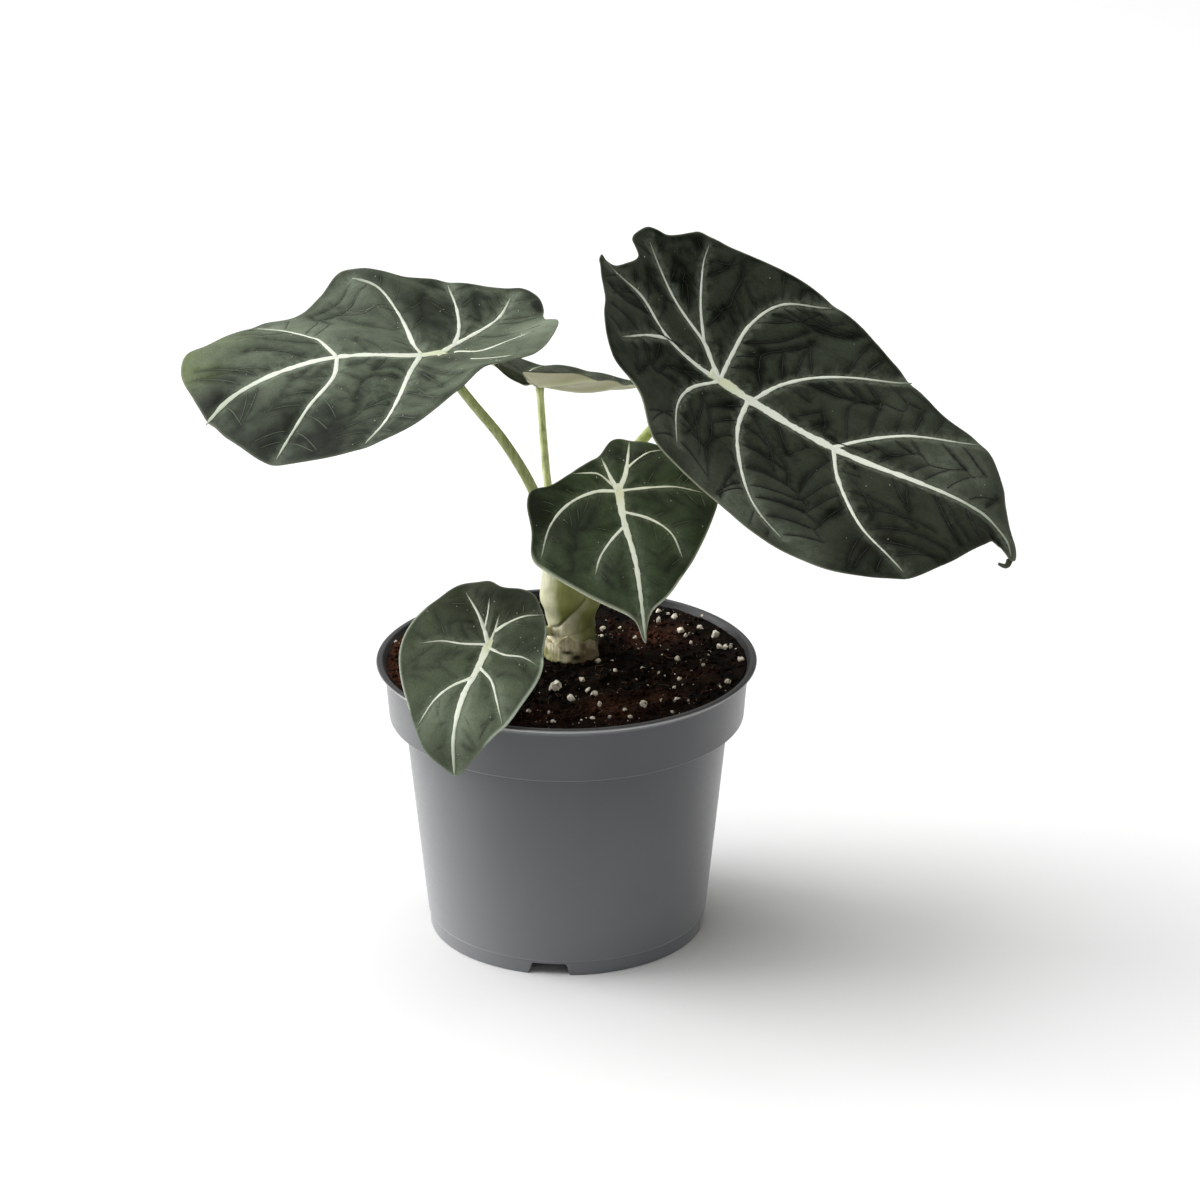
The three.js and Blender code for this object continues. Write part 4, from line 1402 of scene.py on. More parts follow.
@dataclass
class Rootstock:
    """The short fleshy stem: wrapped stalk bases that swell above a narrower neck.

    The radius at height z and bearing a is profile(z) plus a step of 0.5 mm where one stalk base wraps
    over the next, faint upright ribs, uneven lumps, and shallow scars where old leaves grew.
    """

    columns: int = 120
    rows: int = 130
    overlap: tuple[Pair, ...] = ((34, 116), (28, 109.7), (-14, 102.6), (-30, 100), (-62, 98.5))

    def shape(self) -> Shell:
        """Works out the grid of height by bearing and closes it at both ends."""
        z = np.linspace(STEM_PROFILE[0][0], STEM_PROFILE[-1][0], self.rows)[:, None]
        a = np.linspace(0, 2 * np.pi, self.columns, endpoint=False)[None]
        round_z = np.broadcast_to(z, (self.rows, self.columns))
        from_front = np.degrees((a - 1.5 * np.pi + np.pi) % (2 * np.pi) - np.pi)
        radius = height_through(round_z, STEM_PROFILE)
        line = np.array(self.overlap)
        above = z - np.interp(from_front, line[::-1, 0], line[::-1, 1])
        wrap = ease(from_front, -75, -50) * (1 - ease(from_front, 30, 42))
        step = 0.25 * ease(above, -0.5, 0.4) * wrap - 0.45 * bump_at(above, -0.4, 0.5) * wrap
        lumps = Grain(Seed.ROOTSTOCK).rough(crossed(np.cos(a) * 8, np.sin(a) * 8, z), 6.0, 3)
        tilt = z + 1.5 * np.sin(a + 4) + lumps
        scars = 0.14 * (bump_at(tilt, 93.5, 0.45) + bump_at(tilt, 98.2, 0.45))
        ribs = 0.03 * np.sin(17 * a + 0.1 * z) + 0.03 * np.sin(41 * a - 0.25 * z)
        relief = (step - scars + ribs + 0.35 * lumps) * ease(z, 74, 80)
        r = radius + relief * (1 - ease(z, 124, 128) * 0.7)
        rings = np.stack([STEM_X + r * np.cos(a), STEM_Y + r * np.sin(a), round_z], -1)
        # painted shade: darker in the crease where one stalk base wraps over the next
        crease = bump_at(above, -0.4, 0.55) * wrap
        below = 1 - ease(above, -0.9, 0.1)
        fore = 1 - ease(np.abs(from_front + 8 * lumps), 95, 160)
        # painted shade on the shaded right side low down, and darker towards the top
        stain = 0.8 * ease(from_front, 18, 50) * fore * (1 - ease(z, 99, 105)) + 0.5 * ease(z, 121, 127)
        marks = {
            # painted light on the front-left side
            "light": fore * (1 - ease(from_front + 6 * lumps, -50, -14)) * ease(z, 90, 95) + 0 * r,
            "cream": fore * below * (1 - ease(from_front + 10 * lumps, -4, 34)) * ease(z, 90, 94) * 0.95,
            "dark": np.clip(0.55 * crease + 1.6 * scars + stain * (0.6 + 0.6 * lumps), 0, 1) + 0 * r,
        }
        return capped_tube(rings, marks)

    def build(self) -> None:
        """Makes the rootstock in its own skin."""
        make_piece("rootstock_flesh", self.shape(), [RootFinish().build()], ("rootstock",))


@dataclass
class DrySheath:
    """The papery remains of an old leaf base, wrapped round the foot of the rootstock.

    At bearing a the sheath runs from the foot up to a ragged edge, and flares out by curl towards it.
    """

    start: float = 165.0
    stop: float = 352.0
    foot_z: float = 88.7
    thick: float = 0.3
    columns: int = 150
    rows: int = 18

    def shape(self) -> Shell:
        """Works out the outer and inner faces and closes them along the edges."""
        bearing = np.linspace(self.start, self.stop, self.columns)[:, None]
        a = np.radians(bearing)
        grain = Grain(Seed.SHEATH)
        torn = grain.rough(np.column_stack([a[:, 0] * 8, 0 * a[:, 0]]), 1.6, 4)[:, None]
        frayed = grain.rough(np.column_stack([a[:, 0] * 8, 0 * a[:, 0] + 9]), 1.1, 2)[:, None]
        top = 94.8 + 1.3 * np.sin(3 * a) + 0.6 * np.sin(7 * a + 1) + 0.5 * torn
        foot = self.foot_z - 0.9 + 0.55 * frayed
        t = np.linspace(0, 1, self.rows)[None]
        z = foot + (top - foot) * t
        curl = 0.3 + 0.35 * t**3 + 0.35 * np.abs(torn) * t + 0.3 * ease(-t, -0.35, 0.0)
        folds = 0.22 * grain.rough(crossed(a * 8, z * 0.5, 0 * z), 2.6, 3)
        inner = height_through(z, STEM_PROFILE) + curl + folds
        both = np.concatenate([inner + self.thick, inner[:, ::-1]], 1)
        high = np.concatenate([z, z[:, ::-1]], 1)
        rings = np.stack([STEM_X + both * np.cos(a), STEM_Y + both * np.sin(a), high], -1)
        patchy = 1 + 0.5 * grain.rough(crossed(a * 8, z, 0 * z), 2.4, 3)
        brown = ease(bearing, 276, 300) * 0.8 + 0.5 * ease(bearing, 250, 275) * (1 - ease(t, 0.2, 0.6))
        olive = (1 - ease(bearing, 236, 258)) * (1 - ease(t, 0.3, 0.75)) + 0.5 * ease(bearing, 318, 345)
        hole = bump_at(bearing, 260, 13) * bump_at(z, 91.4, 0.55)
        hole = hole + bump_at(bearing, 283, 12) * bump_at(z, 89.6, 0.9)
        marks = {}
        for name, mark in (("brown", brown), ("olive", olive), ("torn", 1.1 * hole)):
            full = np.clip(mark * patchy, 0, 1) * np.ones_like(z)
            marks[name] = np.concatenate([full, full[:, ::-1]], 1)
        return capped_tube(rings[:, ::-1], marks)

    def build(self) -> None:
        """Makes the sheath in dry paper."""
        paper = PaperFinish().build()
        make_piece("dry_sheath_paper", self.shape(), [paper], ("dry_sheath",))


# ---- pot and soil ----
def rounded(corners: tuple[tuple[float, float, float], ...], steps: int = 4) -> Floats:
    """Rounds the corners of a half section by quadratic curves.

    Args:
        corners: Rows of radius, height and the length that the rounding takes from each side.
        steps: Pieces in each rounded corner.

    Returns:
        The section as (radius, height) rows.
    """
    points = [np.array(corners[0][:2], float)]
    t = np.linspace(0, 1, steps + 1)[:, None]
    for before, corner, after in zip(corners[:-2], corners[1:-1], corners[2:]):
        middle = np.array(corner[:2], float)
        arms = [np.array(other[:2], float) - middle for other in (before, after)]
        ends = [middle + arm * min(corner[2] / np.linalg.norm(arm), 0.45) for arm in arms]
        points.extend((1 - t) ** 2 * ends[0] + 2 * t * (1 - t) * middle + t**2 * ends[1])
    points.append(np.array(corners[-1][:2], float))
    return np.array(points)


@dataclass
class NurseryPot:
    """The round pot: a tapered body under a wider collar and a rolled lip, on a notched foot ring."""

    columns: int = 224
    first_notch: float = 262.3
    notches: int = 4
    notch_top: float = 11.4
    notch_foot: float = 13.2
    notch_high: float = 3.9

    def section(self) -> Floats:
        """The half section from under the floor, round the outside and back inside, with soft corners."""
        return rounded((
            (0, FLOOR_Z, 0), (FOOT_R - FOOT_RING, FLOOR_Z, 0.4), (FOOT_R - FOOT_RING, 0, 0.3),
            (FOOT_R, 0, 0.4), (FOOT_R + 0.05, STEP_Z - 0.6, 0.5), (BODY_FOOT_R, STEP_Z, 0.5),
            (BODY_TOP_R, COLLAR_Z, 0.9), (COLLAR_FOOT_R, COLLAR_Z, 0.8),
            (COLLAR_TOP_R, UNDER_LIP_Z - 1.6, 0.7), (RIM_R - 0.6, UNDER_LIP_Z, 0.4),
            (RIM_R, UNDER_LIP_Z + 0.5, 0.4), (RIM_R, POT_H - 0.4, 0.5),
            (RIM_R - 0.5, POT_H, 0.4), (LIP_R, POT_H, 0.4), (LIP_R - 0.5, UNDER_LIP_Z, 0.5),
            (COLLAR_TOP_R - WALL, INNER_LIP_Z, 0.6), (COLLAR_FOOT_R - WALL, SHOULDER_Z, 0.6),
            (BODY_TOP_R - WALL, SHOULDER_Z, 0.6), (BODY_FOOT_R - WALL, FLOOR_Z + FLOOR_T, 0.5),
            (0, FLOOR_Z + FLOOR_T, 0),
        ))

    @cached_property
    def centres(self) -> Floats:
        """The bearing of each notch's middle in degrees."""
        return self.first_notch + np.arange(self.notches) * 360 / self.notches

    def bearings(self) -> Floats:
        """Even bearings in degrees, with more at the cheeks of the notches."""
        cheek = np.degrees(np.array([self.notch_top - 1.2, self.notch_top, self.notch_foot]) / 2 / FOOT_R)
        extra = (self.centres[:, None, None] + cheek[None, :, None] * np.array([-1, 1])).ravel() % 360
        even = np.linspace(0, 360, self.columns, endpoint=False)
        return np.sort(np.concatenate([even[degrees_to_nearest(even, extra) > 0.45], extra]))

    def shape(self) -> Shell:
        """Turns the section about the axis, and lifts the foot ring's underside at each notch.

        Returns:
            The closed pot, with a mark of painted highlight on the lip's outer edge and, half as strong,
            on its top, and a mark of painted bounce light towards the foot, and a second coat for the
            lip's top and the inside, which takes a darker finish as painted shade.
        """
        section = self.section()
        bearing = self.bearings()
        arc = np.radians(degrees_to_nearest(bearing, self.centres)) * FOOT_R
        lift = np.interp(arc, [self.notch_top / 2 - 0.6, self.notch_top / 2, self.notch_foot / 2],
                         [self.notch_high, self.notch_high - 0.6, 0.0])
        r, z = section[:, 0][:, None], section[:, 1][:, None]
        on_ring = (r > FOOT_R - FOOT_RING - 0.1) & (z < self.notch_high) & (r < FOOT_R + 0.3)
        high = np.where(on_ring, np.maximum(z, np.minimum(lift[None], self.notch_high - 0.05)), z)
        a = np.radians(bearing)[None]
        rings = crossed(r * np.cos(a), r * np.sin(a), high)
        # painted highlight: full on the lip's outer edge, half as strong on the lip's top
        brow = (r > RIM_R - 0.7) * (z > UNDER_LIP_Z - 0.1) * (1 - ease(z, POT_H - 0.5, POT_H - 0.2))
        brow = brow + 0.5 * (r > LIP_R - 0.05) * (z > POT_H - 0.3)
        # painted bounce light: 1 at the foot's step, fading to 0 at the collar
        dust = (COLLAR_Z - z) / (COLLAR_Z - STEP_Z)
        shell = capped_tube(rings, {name: np.clip(mark + 0 * high, 0, 1)
                                    for name, mark in (("brow", brow), ("dust", dust))})
        turn = int(np.argmax(section[:, 1] > POT_H - 0.25)) * len(bearing)
        walls, caps = shell.faces
        shell.faces, shell.coats = [walls[:turn], walls[turn:], caps], [0, 1, 0]
        return shell

    def build(self) -> None:
        """Makes the pot in grey plastic, with a darker, duller copy inside and on the lip's top as
        painted shade.
        """
        # painted shade: the inside and the lip's top get a darker copy of the plastic
        dull = PlasticFinish("pot_inside_shaded", (46, 46, 48), (46, 46, 48), (62, 62, 63), (84, 85, 87), 0.15)
        finishes = [PlasticFinish().build(), dull.build()]
        make_piece("pot_shell", self.shape(), finishes, ("pot",), 42.0)


def soil_height(x: Floats, y: Floats) -> Floats:
    """The soil's upper face: hollow in the middle, and lumpy by a few crossed waves."""
    r = np.hypot(x, y) / LIP_R
    lumps = np.sin(0.31 * x + 1.3) * np.sin(0.27 * y + 0.4) + 0.6 * np.sin(0.19 * x - 0.42 * y)
    bowl = SOIL_MID_Z + (SOIL_EDGE_Z - SOIL_MID_Z) * r**2
    return bowl + SOIL_LUMP * lumps * (1 - np.clip(r, 0, 1) ** 6)


# White grains on the soil: x, y and radius.
PERLITE: tuple[Triple, ...] = (
    (-3.6, -22, 1.8), (1.5, -29.2, 1.4), (4.8, -17.4, 1.0), (6.5, -23.5, 0.8), (8.6, -28.6, 1.4),
    (10.1, -35, 0.7), (15.2, -10.1, 0.6), (23.8, -4.9, 0.5), (17.1, 28.1, 0.6), (11.7, 28.5, 0.8),
    (11.3, 20.4, 0.65), (22, 20.3, 0.7), (10.1, 1.9, 1.0), (29.9, 40.5, 0.95), (29.8, 34.3, 1.0),
    (32.6, 38.1, 0.8), (34.9, 36.6, 1.1), (36.7, 24.9, 1.1), (38.2, 22.1, 0.7), (42.8, 26.6, 0.9),
    (39.7, 15.9, 0.65), (47.6, 20.1, 1.45), (48.7, 11.7, 1.1), (50.6, 12.2, 1.0), (52.2, 12.4, 0.8),
    (45.1, 8, 0.8), (55, 0, 1.25), (35.1, 1.7, 1.0), (43.1, -2.6, 0.6), (28.9, -9.8, 0.5),
    (35.2, -14.6, 0.75), (50.2, -19.1, 0.8), (47.5, -22.8, 0.65), (33.4, -20.9, 0.65),
    (33.9, -34.1, 1.1), (35.2, -34.5, 0.7), (32.3, -42, 0.6), (29.2, -34.9, 0.55), (23.5, -38.6, 1.2),
    (17.7, -41.4, 0.55), (19.4, -45.4, 0.8), (13.1, -45.5, 0.7), (7.8, -48.3, 0.7), (5.1, -47.2, 0.9),
    (-4.2, -48.7, 0.7), (-5.5, -41.6, 0.6), (-11.7, -40.5, 0.8), (-54.5, 15.8, 0.55),
    (44.2, 37.4, 0.6), (48.3, 33, 0.5),
)


@dataclass
class Soil:
    """The potting soil: a lumpy top with crumbs, white grains and fibres, and plain sides in the pot.

    The top's height is soil_height plus crumbling noise of about 1 mm, which fades out at the wall.
    """

    spokes: int = 320
    rings: int = 88
    crumbs: int = 2600
    specks: int = 260
    fibres: int = 70
    ruddy: tuple[Patch, ...] = (
        Patch(14, -38, 9, 0.9), Patch(30, -30, 6, 0.8), Patch(28, 22, 9, 0.9), Patch(-56, 10, 10, 1.0),
        Patch(-52, -12, 10, 1.0), Patch(-56, 26, 9, 0.9), Patch(40, -12, 5, 0.7), Patch(-8, -45, 6, 0.7),
    )

    @cached_property
    def grain(self) -> Grain:
        """The soil's own noise."""
        return Grain(Seed.SOIL)

    def top(self, x: Floats, y: Floats) -> Floats:
        """Height of the crumbled top at (x, y)."""
        point = crossed(x, y, 0.0)
        crumble = 0.8 * self.grain.rough(point, 4.6, 4) + 0.35 * self.grain.at(point + 60, 1.3)
        hem = 1 - ease(np.hypot(x, y), SOIL_R - 3, SOIL_R)
        return soil_height(x, y) + crumble * (0.25 + 0.75 * hem) + 0.25

    def redness(self, x: Floats, y: Floats) -> Floats:
        """Share of fibrous red peat at (x, y): a sum of round patches."""
        return np.clip(sum(patch.strength(x, y) for patch in self.ruddy), 0, 1)

    def body(self) -> Shell:
        """The block of soil: rings out over the top, down the wall and in under the floor."""
        out = np.linspace(0, 1, self.rings + 1)[1:] ** 0.8 * SOIL_R
        side = np.array([
            (COLLAR_TOP_R, INNER_LIP_Z), (COLLAR_FOOT_R, SHOULDER_Z + GAP),
            (BODY_TOP_R, SHOULDER_Z + GAP), (BODY_FOOT_R, FLOOR_Z + FLOOR_T + GAP),
        ]) - (WALL + 2 * GAP, 0)
        a = np.linspace(0, 2 * np.pi, self.spokes, endpoint=False)[None]
        x, y = out[:, None] * np.cos(a), out[:, None] * np.sin(a)
        upper = np.stack([x, y, self.top(x, y)], -1)
        radius, high = side[:, :1], side[:, 1:]
        lower = crossed(radius * np.cos(a), radius * np.sin(a), high)
        rings = np.concatenate([upper, lower])[:, ::-1]
        red = np.concatenate([self.redness(x, y), np.zeros(lower.shape[:2])])[:, ::-1]
        return capped_tube(rings, {"red": red})

    def scatter(self, count: int, dice: np.random.Generator, reach: float) -> tuple[Floats, Floats]:
        """Random places within reach of the axis, clear of the rootstock."""
        r, a = reach * np.sqrt(dice.uniform(0, 1, 2 * count)), dice.uniform(0, 2 * np.pi, 2 * count)
        x, y = r * np.cos(a), r * np.sin(a)
        clear = np.hypot(x - STEM_X, y - STEM_Y) > STEM_CLEAR
        return x[clear][:count], y[clear][:count]

    def crumb_shell(self) -> Shell:
        """Loose crumbs of soil, many small and few large, half sunk in the top."""
        dice = np.random.default_rng(Seed.CRUMBS)
        x, y = self.scatter(self.crumbs, dice, SOIL_R - 1.2)
        size = 0.28 + 0.95 * dice.uniform(0, 1, len(x)) ** 3
        centres = np.column_stack([x, y, self.top(x, y) + 0.2 * size])
        shell = scattered(Lump.CRUMB, centres, size, (1.15, 1.0, 0.75), dice, 0.28)
        red = np.repeat(self.redness(x, y) * 0.7 + 0.5 * dice.uniform(0, 1, len(x)) ** 4, 12)
        shell.marks["red"] = np.clip(red, 0, 1)
        return shell

    def perlite_shell(self) -> Shell:
        """The white grains: knobbly pebbles half sunk in the soil, and loose specks from crushed ones."""
        dice = np.random.default_rng(Seed.WHITE_GRAINS)
        grains = np.array(PERLITE)
        z = self.top(grains[:, 0], grains[:, 1]) + 0.4 * grains[:, 2]
        centres = np.column_stack([grains[:, :2], z])
        pebbles = scattered(Lump.PEBBLE, centres, grains[:, 2], (1.15, 1.0, 0.85), dice, 0.26)
        x, y = self.scatter(self.specks, dice, SOIL_R - 1.5)
        close = grains[dice.integers(0, len(grains), self.specks // 2), :2]
        x[:len(close)], y[:len(close)] = (close + dice.normal(0, 2.2, close.shape)).T
        size = 0.12 + 0.3 * dice.uniform(0, 1, len(x)) ** 2.5
        inside = np.hypot(x, y) < SOIL_R - 1
        spots = np.column_stack([x, y, self.top(x, y) + 0.3 * size])[inside]
        return fused([pebbles, scattered(Lump.CRUMB, spots, size[inside], (1.2, 1.0, 0.8), dice, 0.3)])

    def fibre_shell(self) -> Shell:
        """Thin root and bark fibres that lie on the soil in shallow arcs."""
        dice = np.random.default_rng(Seed.FIBRES)
        x, y = self.scatter(self.fibres, dice, SOIL_R - 4)
        shells = []
        for cx, cy in zip(x, y):
            length, heading, bow = dice.uniform(1.5, 5), dice.uniform(0, 2 * np.pi), dice.uniform(-1, 1)
            t = np.linspace(-0.5, 0.5, 7)
            lx = cx + length * t * np.cos(heading) - bow * t**2 * 4 * np.sin(heading)
            ly = cy + length * t * np.sin(heading) + bow * t**2 * 4 * np.cos(heading)
            lz = self.top(lx, ly) + 0.2 + 0.4 * dice.uniform(0, 1) * np.cos(np.pi * t)
            radius = dice.uniform(0.06, 0.13) * (1 - 1.2 * t**2)
            shells.append(capped_tube(tube_along(np.column_stack([lx, ly, lz]), radius, 4)))
        return fused(shells)

    def build(self) -> None:
        """Makes the soil, its crumbs, white grains and fibres."""
        earth = EarthFinish().build()
        make_piece("soil_bed", self.body(), [earth], ("soil",))
        make_piece("soil_crumbs", self.crumb_shell(), [earth])
        white = GrainFinish("perlite", (238, 230, 216), (96, 78, 62))
        make_piece("perlite_grains", self.perlite_shell(), [white.build()], (), 34.0)
        straw = GrainFinish("bark_fibre", (112, 84, 60), (60, 42, 30))
        make_piece("soil_fibres", self.fibre_shell(), [straw.build()])


# ---- the plant ----
LEFT = Blade(
    name="left", place=(-39, -8, 193), heading=213, pitch=5, roll=-15,
    midrib=((-46, 4), (-20, 0), (0, 0), (25, 1), (50, -3), (70, -12), (78, -18)),
    margin=(
        (-40.5, -6, 3), (-43.2, -10, 2), (-44.7, -14.1, 2), (-45.1, -18.7, 2), (-42.5, -23, 2.5),
        (-35.5, -25.5, 3), (-22, -34.5, 4), (-9.5, -38, 5), (5.5, -41.5, 7), (11.5, -44, 4),
        (16, -45, -5), (24.5, -41.5, -9), (42, -38, -7), (60, -33, -3), (69, -30.5, 0),
        (73, -25, 0), (75, -12, 0),
        (75.5, -2.5, 0), (74, 14.7, -1), (69.7, 26.2, -3), (59, 35.6, -3), (48.5, 42, 0), (34, 43, 4),
        (17, 37.5, 10), (6, 33, 15), (-5.5, 30.5, 15), (-22, 21.5, 12), (-32.5, 12.1, 10), (-37.4, 6, 9),
        (-38, 2, 7), (-38.3, -1.3, 5),
    ),
    veins=(
        Vein(2.6, 1.5, ((-4, -1.5), (11, -0.5), (33, -4), (54, -5), (66, -4.5), (76, -1)), 1.2),
        Vein(1.6, 0.7, ((5, -1), (3, -13), (2, -24), (3, -33), (9, -40))),
        Vein(1.5, 0.6, ((33, -4), (33.5, -14), (36, -26), (42, -36))),
        Vein(1.5, 0.7, ((6, 0), (14, 8), (27, 23), (37, 33), (47, 40))),
        Vein(1.5, 0.7, ((33, -4), (39, 5), (53, 15), (67, 26))),
        Vein(1.9, 0.7, ((0, 0), (-9, -5), (-17, -8.5), (-30, -14), (-38, -21))),
        Vein(1.5, 0.6, ((-9, -5), (-14, -11), (-19, -21), (-22, -33))),
    ),
    small_veins=(
        Vein(1.2, 0.4, ((-6, 0), (-12, 4), (-22, 4), (-30, 5))),
        Vein(0.8, 0.3, ((-6, 9), (-10, 13), (-15, 18))),
    ),
    folds=Folds(height=0.42, pitch=7.0, thread=0.2, threaded=0.95), seamed=False, greying=0.0,
    spokes=560, rings=110,
    velvet=VelvetFinish(
        "velvet_left", shade_in_folds=(30, 36, 26), body=(40, 47, 36), pale=(88, 97, 80), stain=(25, 30, 21),
        flush=(106, 118, 76), halo=(120, 130, 112), hem=(140, 146, 124), sheen=0.08, gloss=0.12,
    ),
    crease=(72, 80, 62),
    stains=(
        Patch(-6, -20, 12, 0.7), Patch(-20, -22, 8, 0.5), Patch(3, -37, 6, 0.5), Patch(-44, -12, 5, 1.2),
        Patch(72, -4, 9, 1.0), Patch(68, 14, 12, 0.8), Patch(59, 30, 12, 1.1), Patch(38, 40, 10, 0.75),
        Patch(18, 37, 8, 0.5), Patch(47, 20, 8, 0.35), Patch(26, 24, 8, 0.3), Patch(0, 6, 6, 0.5),
    ),
    flushes=(Patch(62, -30, 10, 0.5), Patch(71, -22, 7, 0.5)),
    greys=(
        Patch(34, -30, 13, 0.6), Patch(16, -8, 14, 0.35), Patch(-33, 4, 10, 0.9), Patch(3, -37, 9, 0.6),
    ),
    dust=90, seed=3,
)

RIGHT = Blade(
    name="right", place=(47, -16, 187), heading=-13, pitch=-29, roll=25,
    midrib=((-50, 22), (-25, 8), (0, 0), (40, 0), (80, 7), (100, 4), (106, 1)),
    margin=(
        (-49.6, -5.8, 2), (-48.4, -8, 3), (-46.2, -11.9, 4), (-42, -16.9, 5), (-39.5, -22.5, 6),
        (-30.5, -34.5, 10), (-18, -38.5, 12), (-8, -47.5, 12), (3, -48, 9), (19.5, -48.5, 6),
        (39.5, -51, 4), (59, -48.5, 3), (77, -39, 2), (85.5, -27, 3), (90.9, -14, 1.5),
        (93.8, -7.8, 1), (95.7, -4.2, 0.5),
        (98.5, -3.3, 0), (101.5, -3.2, 0), (103.9, -2.9, 0), (104.8, -1.6, 0), (104.4, 0, 0),
        (103.2, 1.6, 0), (100.5, 4.4, -0.5), (97.8, 7.8, -1), (94.2, 13.6, -1.5), (90.9, 19.4, -2),
        (80, 27, 0), (64, 30, 2), (43.5, 41, 3), (24, 51, 2), (1.5, 51.5, 3), (-18.5, 44.5, 1),
        (-29, 36.5, 3), (-31.4, 33.7, 2), (-34.1, 29.6, 1), (-37, 25.8, 0.5), (-40.5, 23.9, 0),
        (-42.9, 21.7, 0), (-44.3, 18.2, 0), (-44.9, 13, 0), (-42.4, 12.1, 0), (-40.8, 11.1, 0),
        (-40.6, 9, 0), (-42.2, 4.5, 0), (-44.6, 0.1, 0), (-47.5, -2.4, 1), (-49.6, -3.7, 2),
    ),
    veins=(
        Vein(3.6, 0.7, (
            (-4, 0), (12, 0.5), (37, 0.5), (66, 2), (82.5, 3.5), (91.5, 4), (99.5, 1.3), (103, -2),
        ), 1.25),
        Vein(1.6, 0.5, ((0, 0), (-1, 12), (-1, 26), (4, 40), (18, 51))),
        Vein(1.6, 0.5, ((11.5, 1), (17, 13), (28, 25), (51, 37.5))),
        Vein(1.5, 0.4, ((40, 1), (47, 10), (57, 18), (78, 27))),
        Vein(1.5, 0.4, ((0, 0), (-6, -11), (-7, -23), (-1, -38))),
        Vein(1.8, 0.5, ((10.5, 0), (12, -12), (18, -25), (28, -38), (40, -45))),
        Vein(1.6, 0.5, ((40, 1), (46, -11), (58, -25), (76, -36))),
        Vein(2.0, 0.5, ((0, 0), (-10, -1.5), (-20, -2), (-33, 1.5), (-47, -3.5))),
        Vein(1.3, 0.4, ((-20, -2), (-26, -10), (-31.5, -21))),
        Vein(1.9, 0.5, ((0, 0), (-6, 5), (-10, 8), (-25, 12), (-40, 19))),
        Vein(1.2, 0.4, ((-10, 8), (-17, 18), (-23, 30), (-24.5, 37))),
    ),
    folds=Folds(height=0.95, pitch=6.8, thread=0.26, threaded=0.95, reach=26, lack=1.3, dusk=1.15),
    spokes=600, rings=125,
    velvet=VelvetFinish(
        "velvet_right", shade_in_folds=(12, 14, 10), body=(17, 21, 13), pale=(53, 58, 47), stain=(30, 31, 22),
        flush=(84, 88, 74), halo=(98, 104, 90), hem=(152, 156, 132), sheen=0.03, gloss=0.03,
    ),
    # painted shade: the right leaf's fold lines take this dark colour, standing for the shade in its
    # creases; the other leaves give theirs paler colours
    crease=(20, 23, 17),
    stains=(Patch(66, -28, 16, 0.6), Patch(92, -4, 10, 0.4)),
    flushes=(Patch(-44, 10, 7, 0.4), Patch(96, 6, 8, 0.5)),
    greys=(
        Patch(10, -44, 8, 0.6), Patch(25, -41, 11, 1.0), Patch(46, -46, 9, 0.7), Patch(-10, -40, 9, 0.6),
        Patch(77, 14, 13, 0.9), Patch(-38, -14, 9, 0.4), Patch(45, 20, 16, 0.2),
    ),
    hems=(
        Hem(-125, -66, 0.7, 0.8), Hem(-66, -34, 0.5, 0.45), Hem(1, 14, 0.5, 0.6), Hem(-4, 2, 0.8, 0.6),
    ),
    curl=(
        (103.4, -1.6, -0.5), (103.5, -3.4, -0.4), (103, -4.6, -0.2), (101.9, -5.3, 0),
        (100.8, -5.6, 0.2),
    ),
    dust=34, seed=8,
)

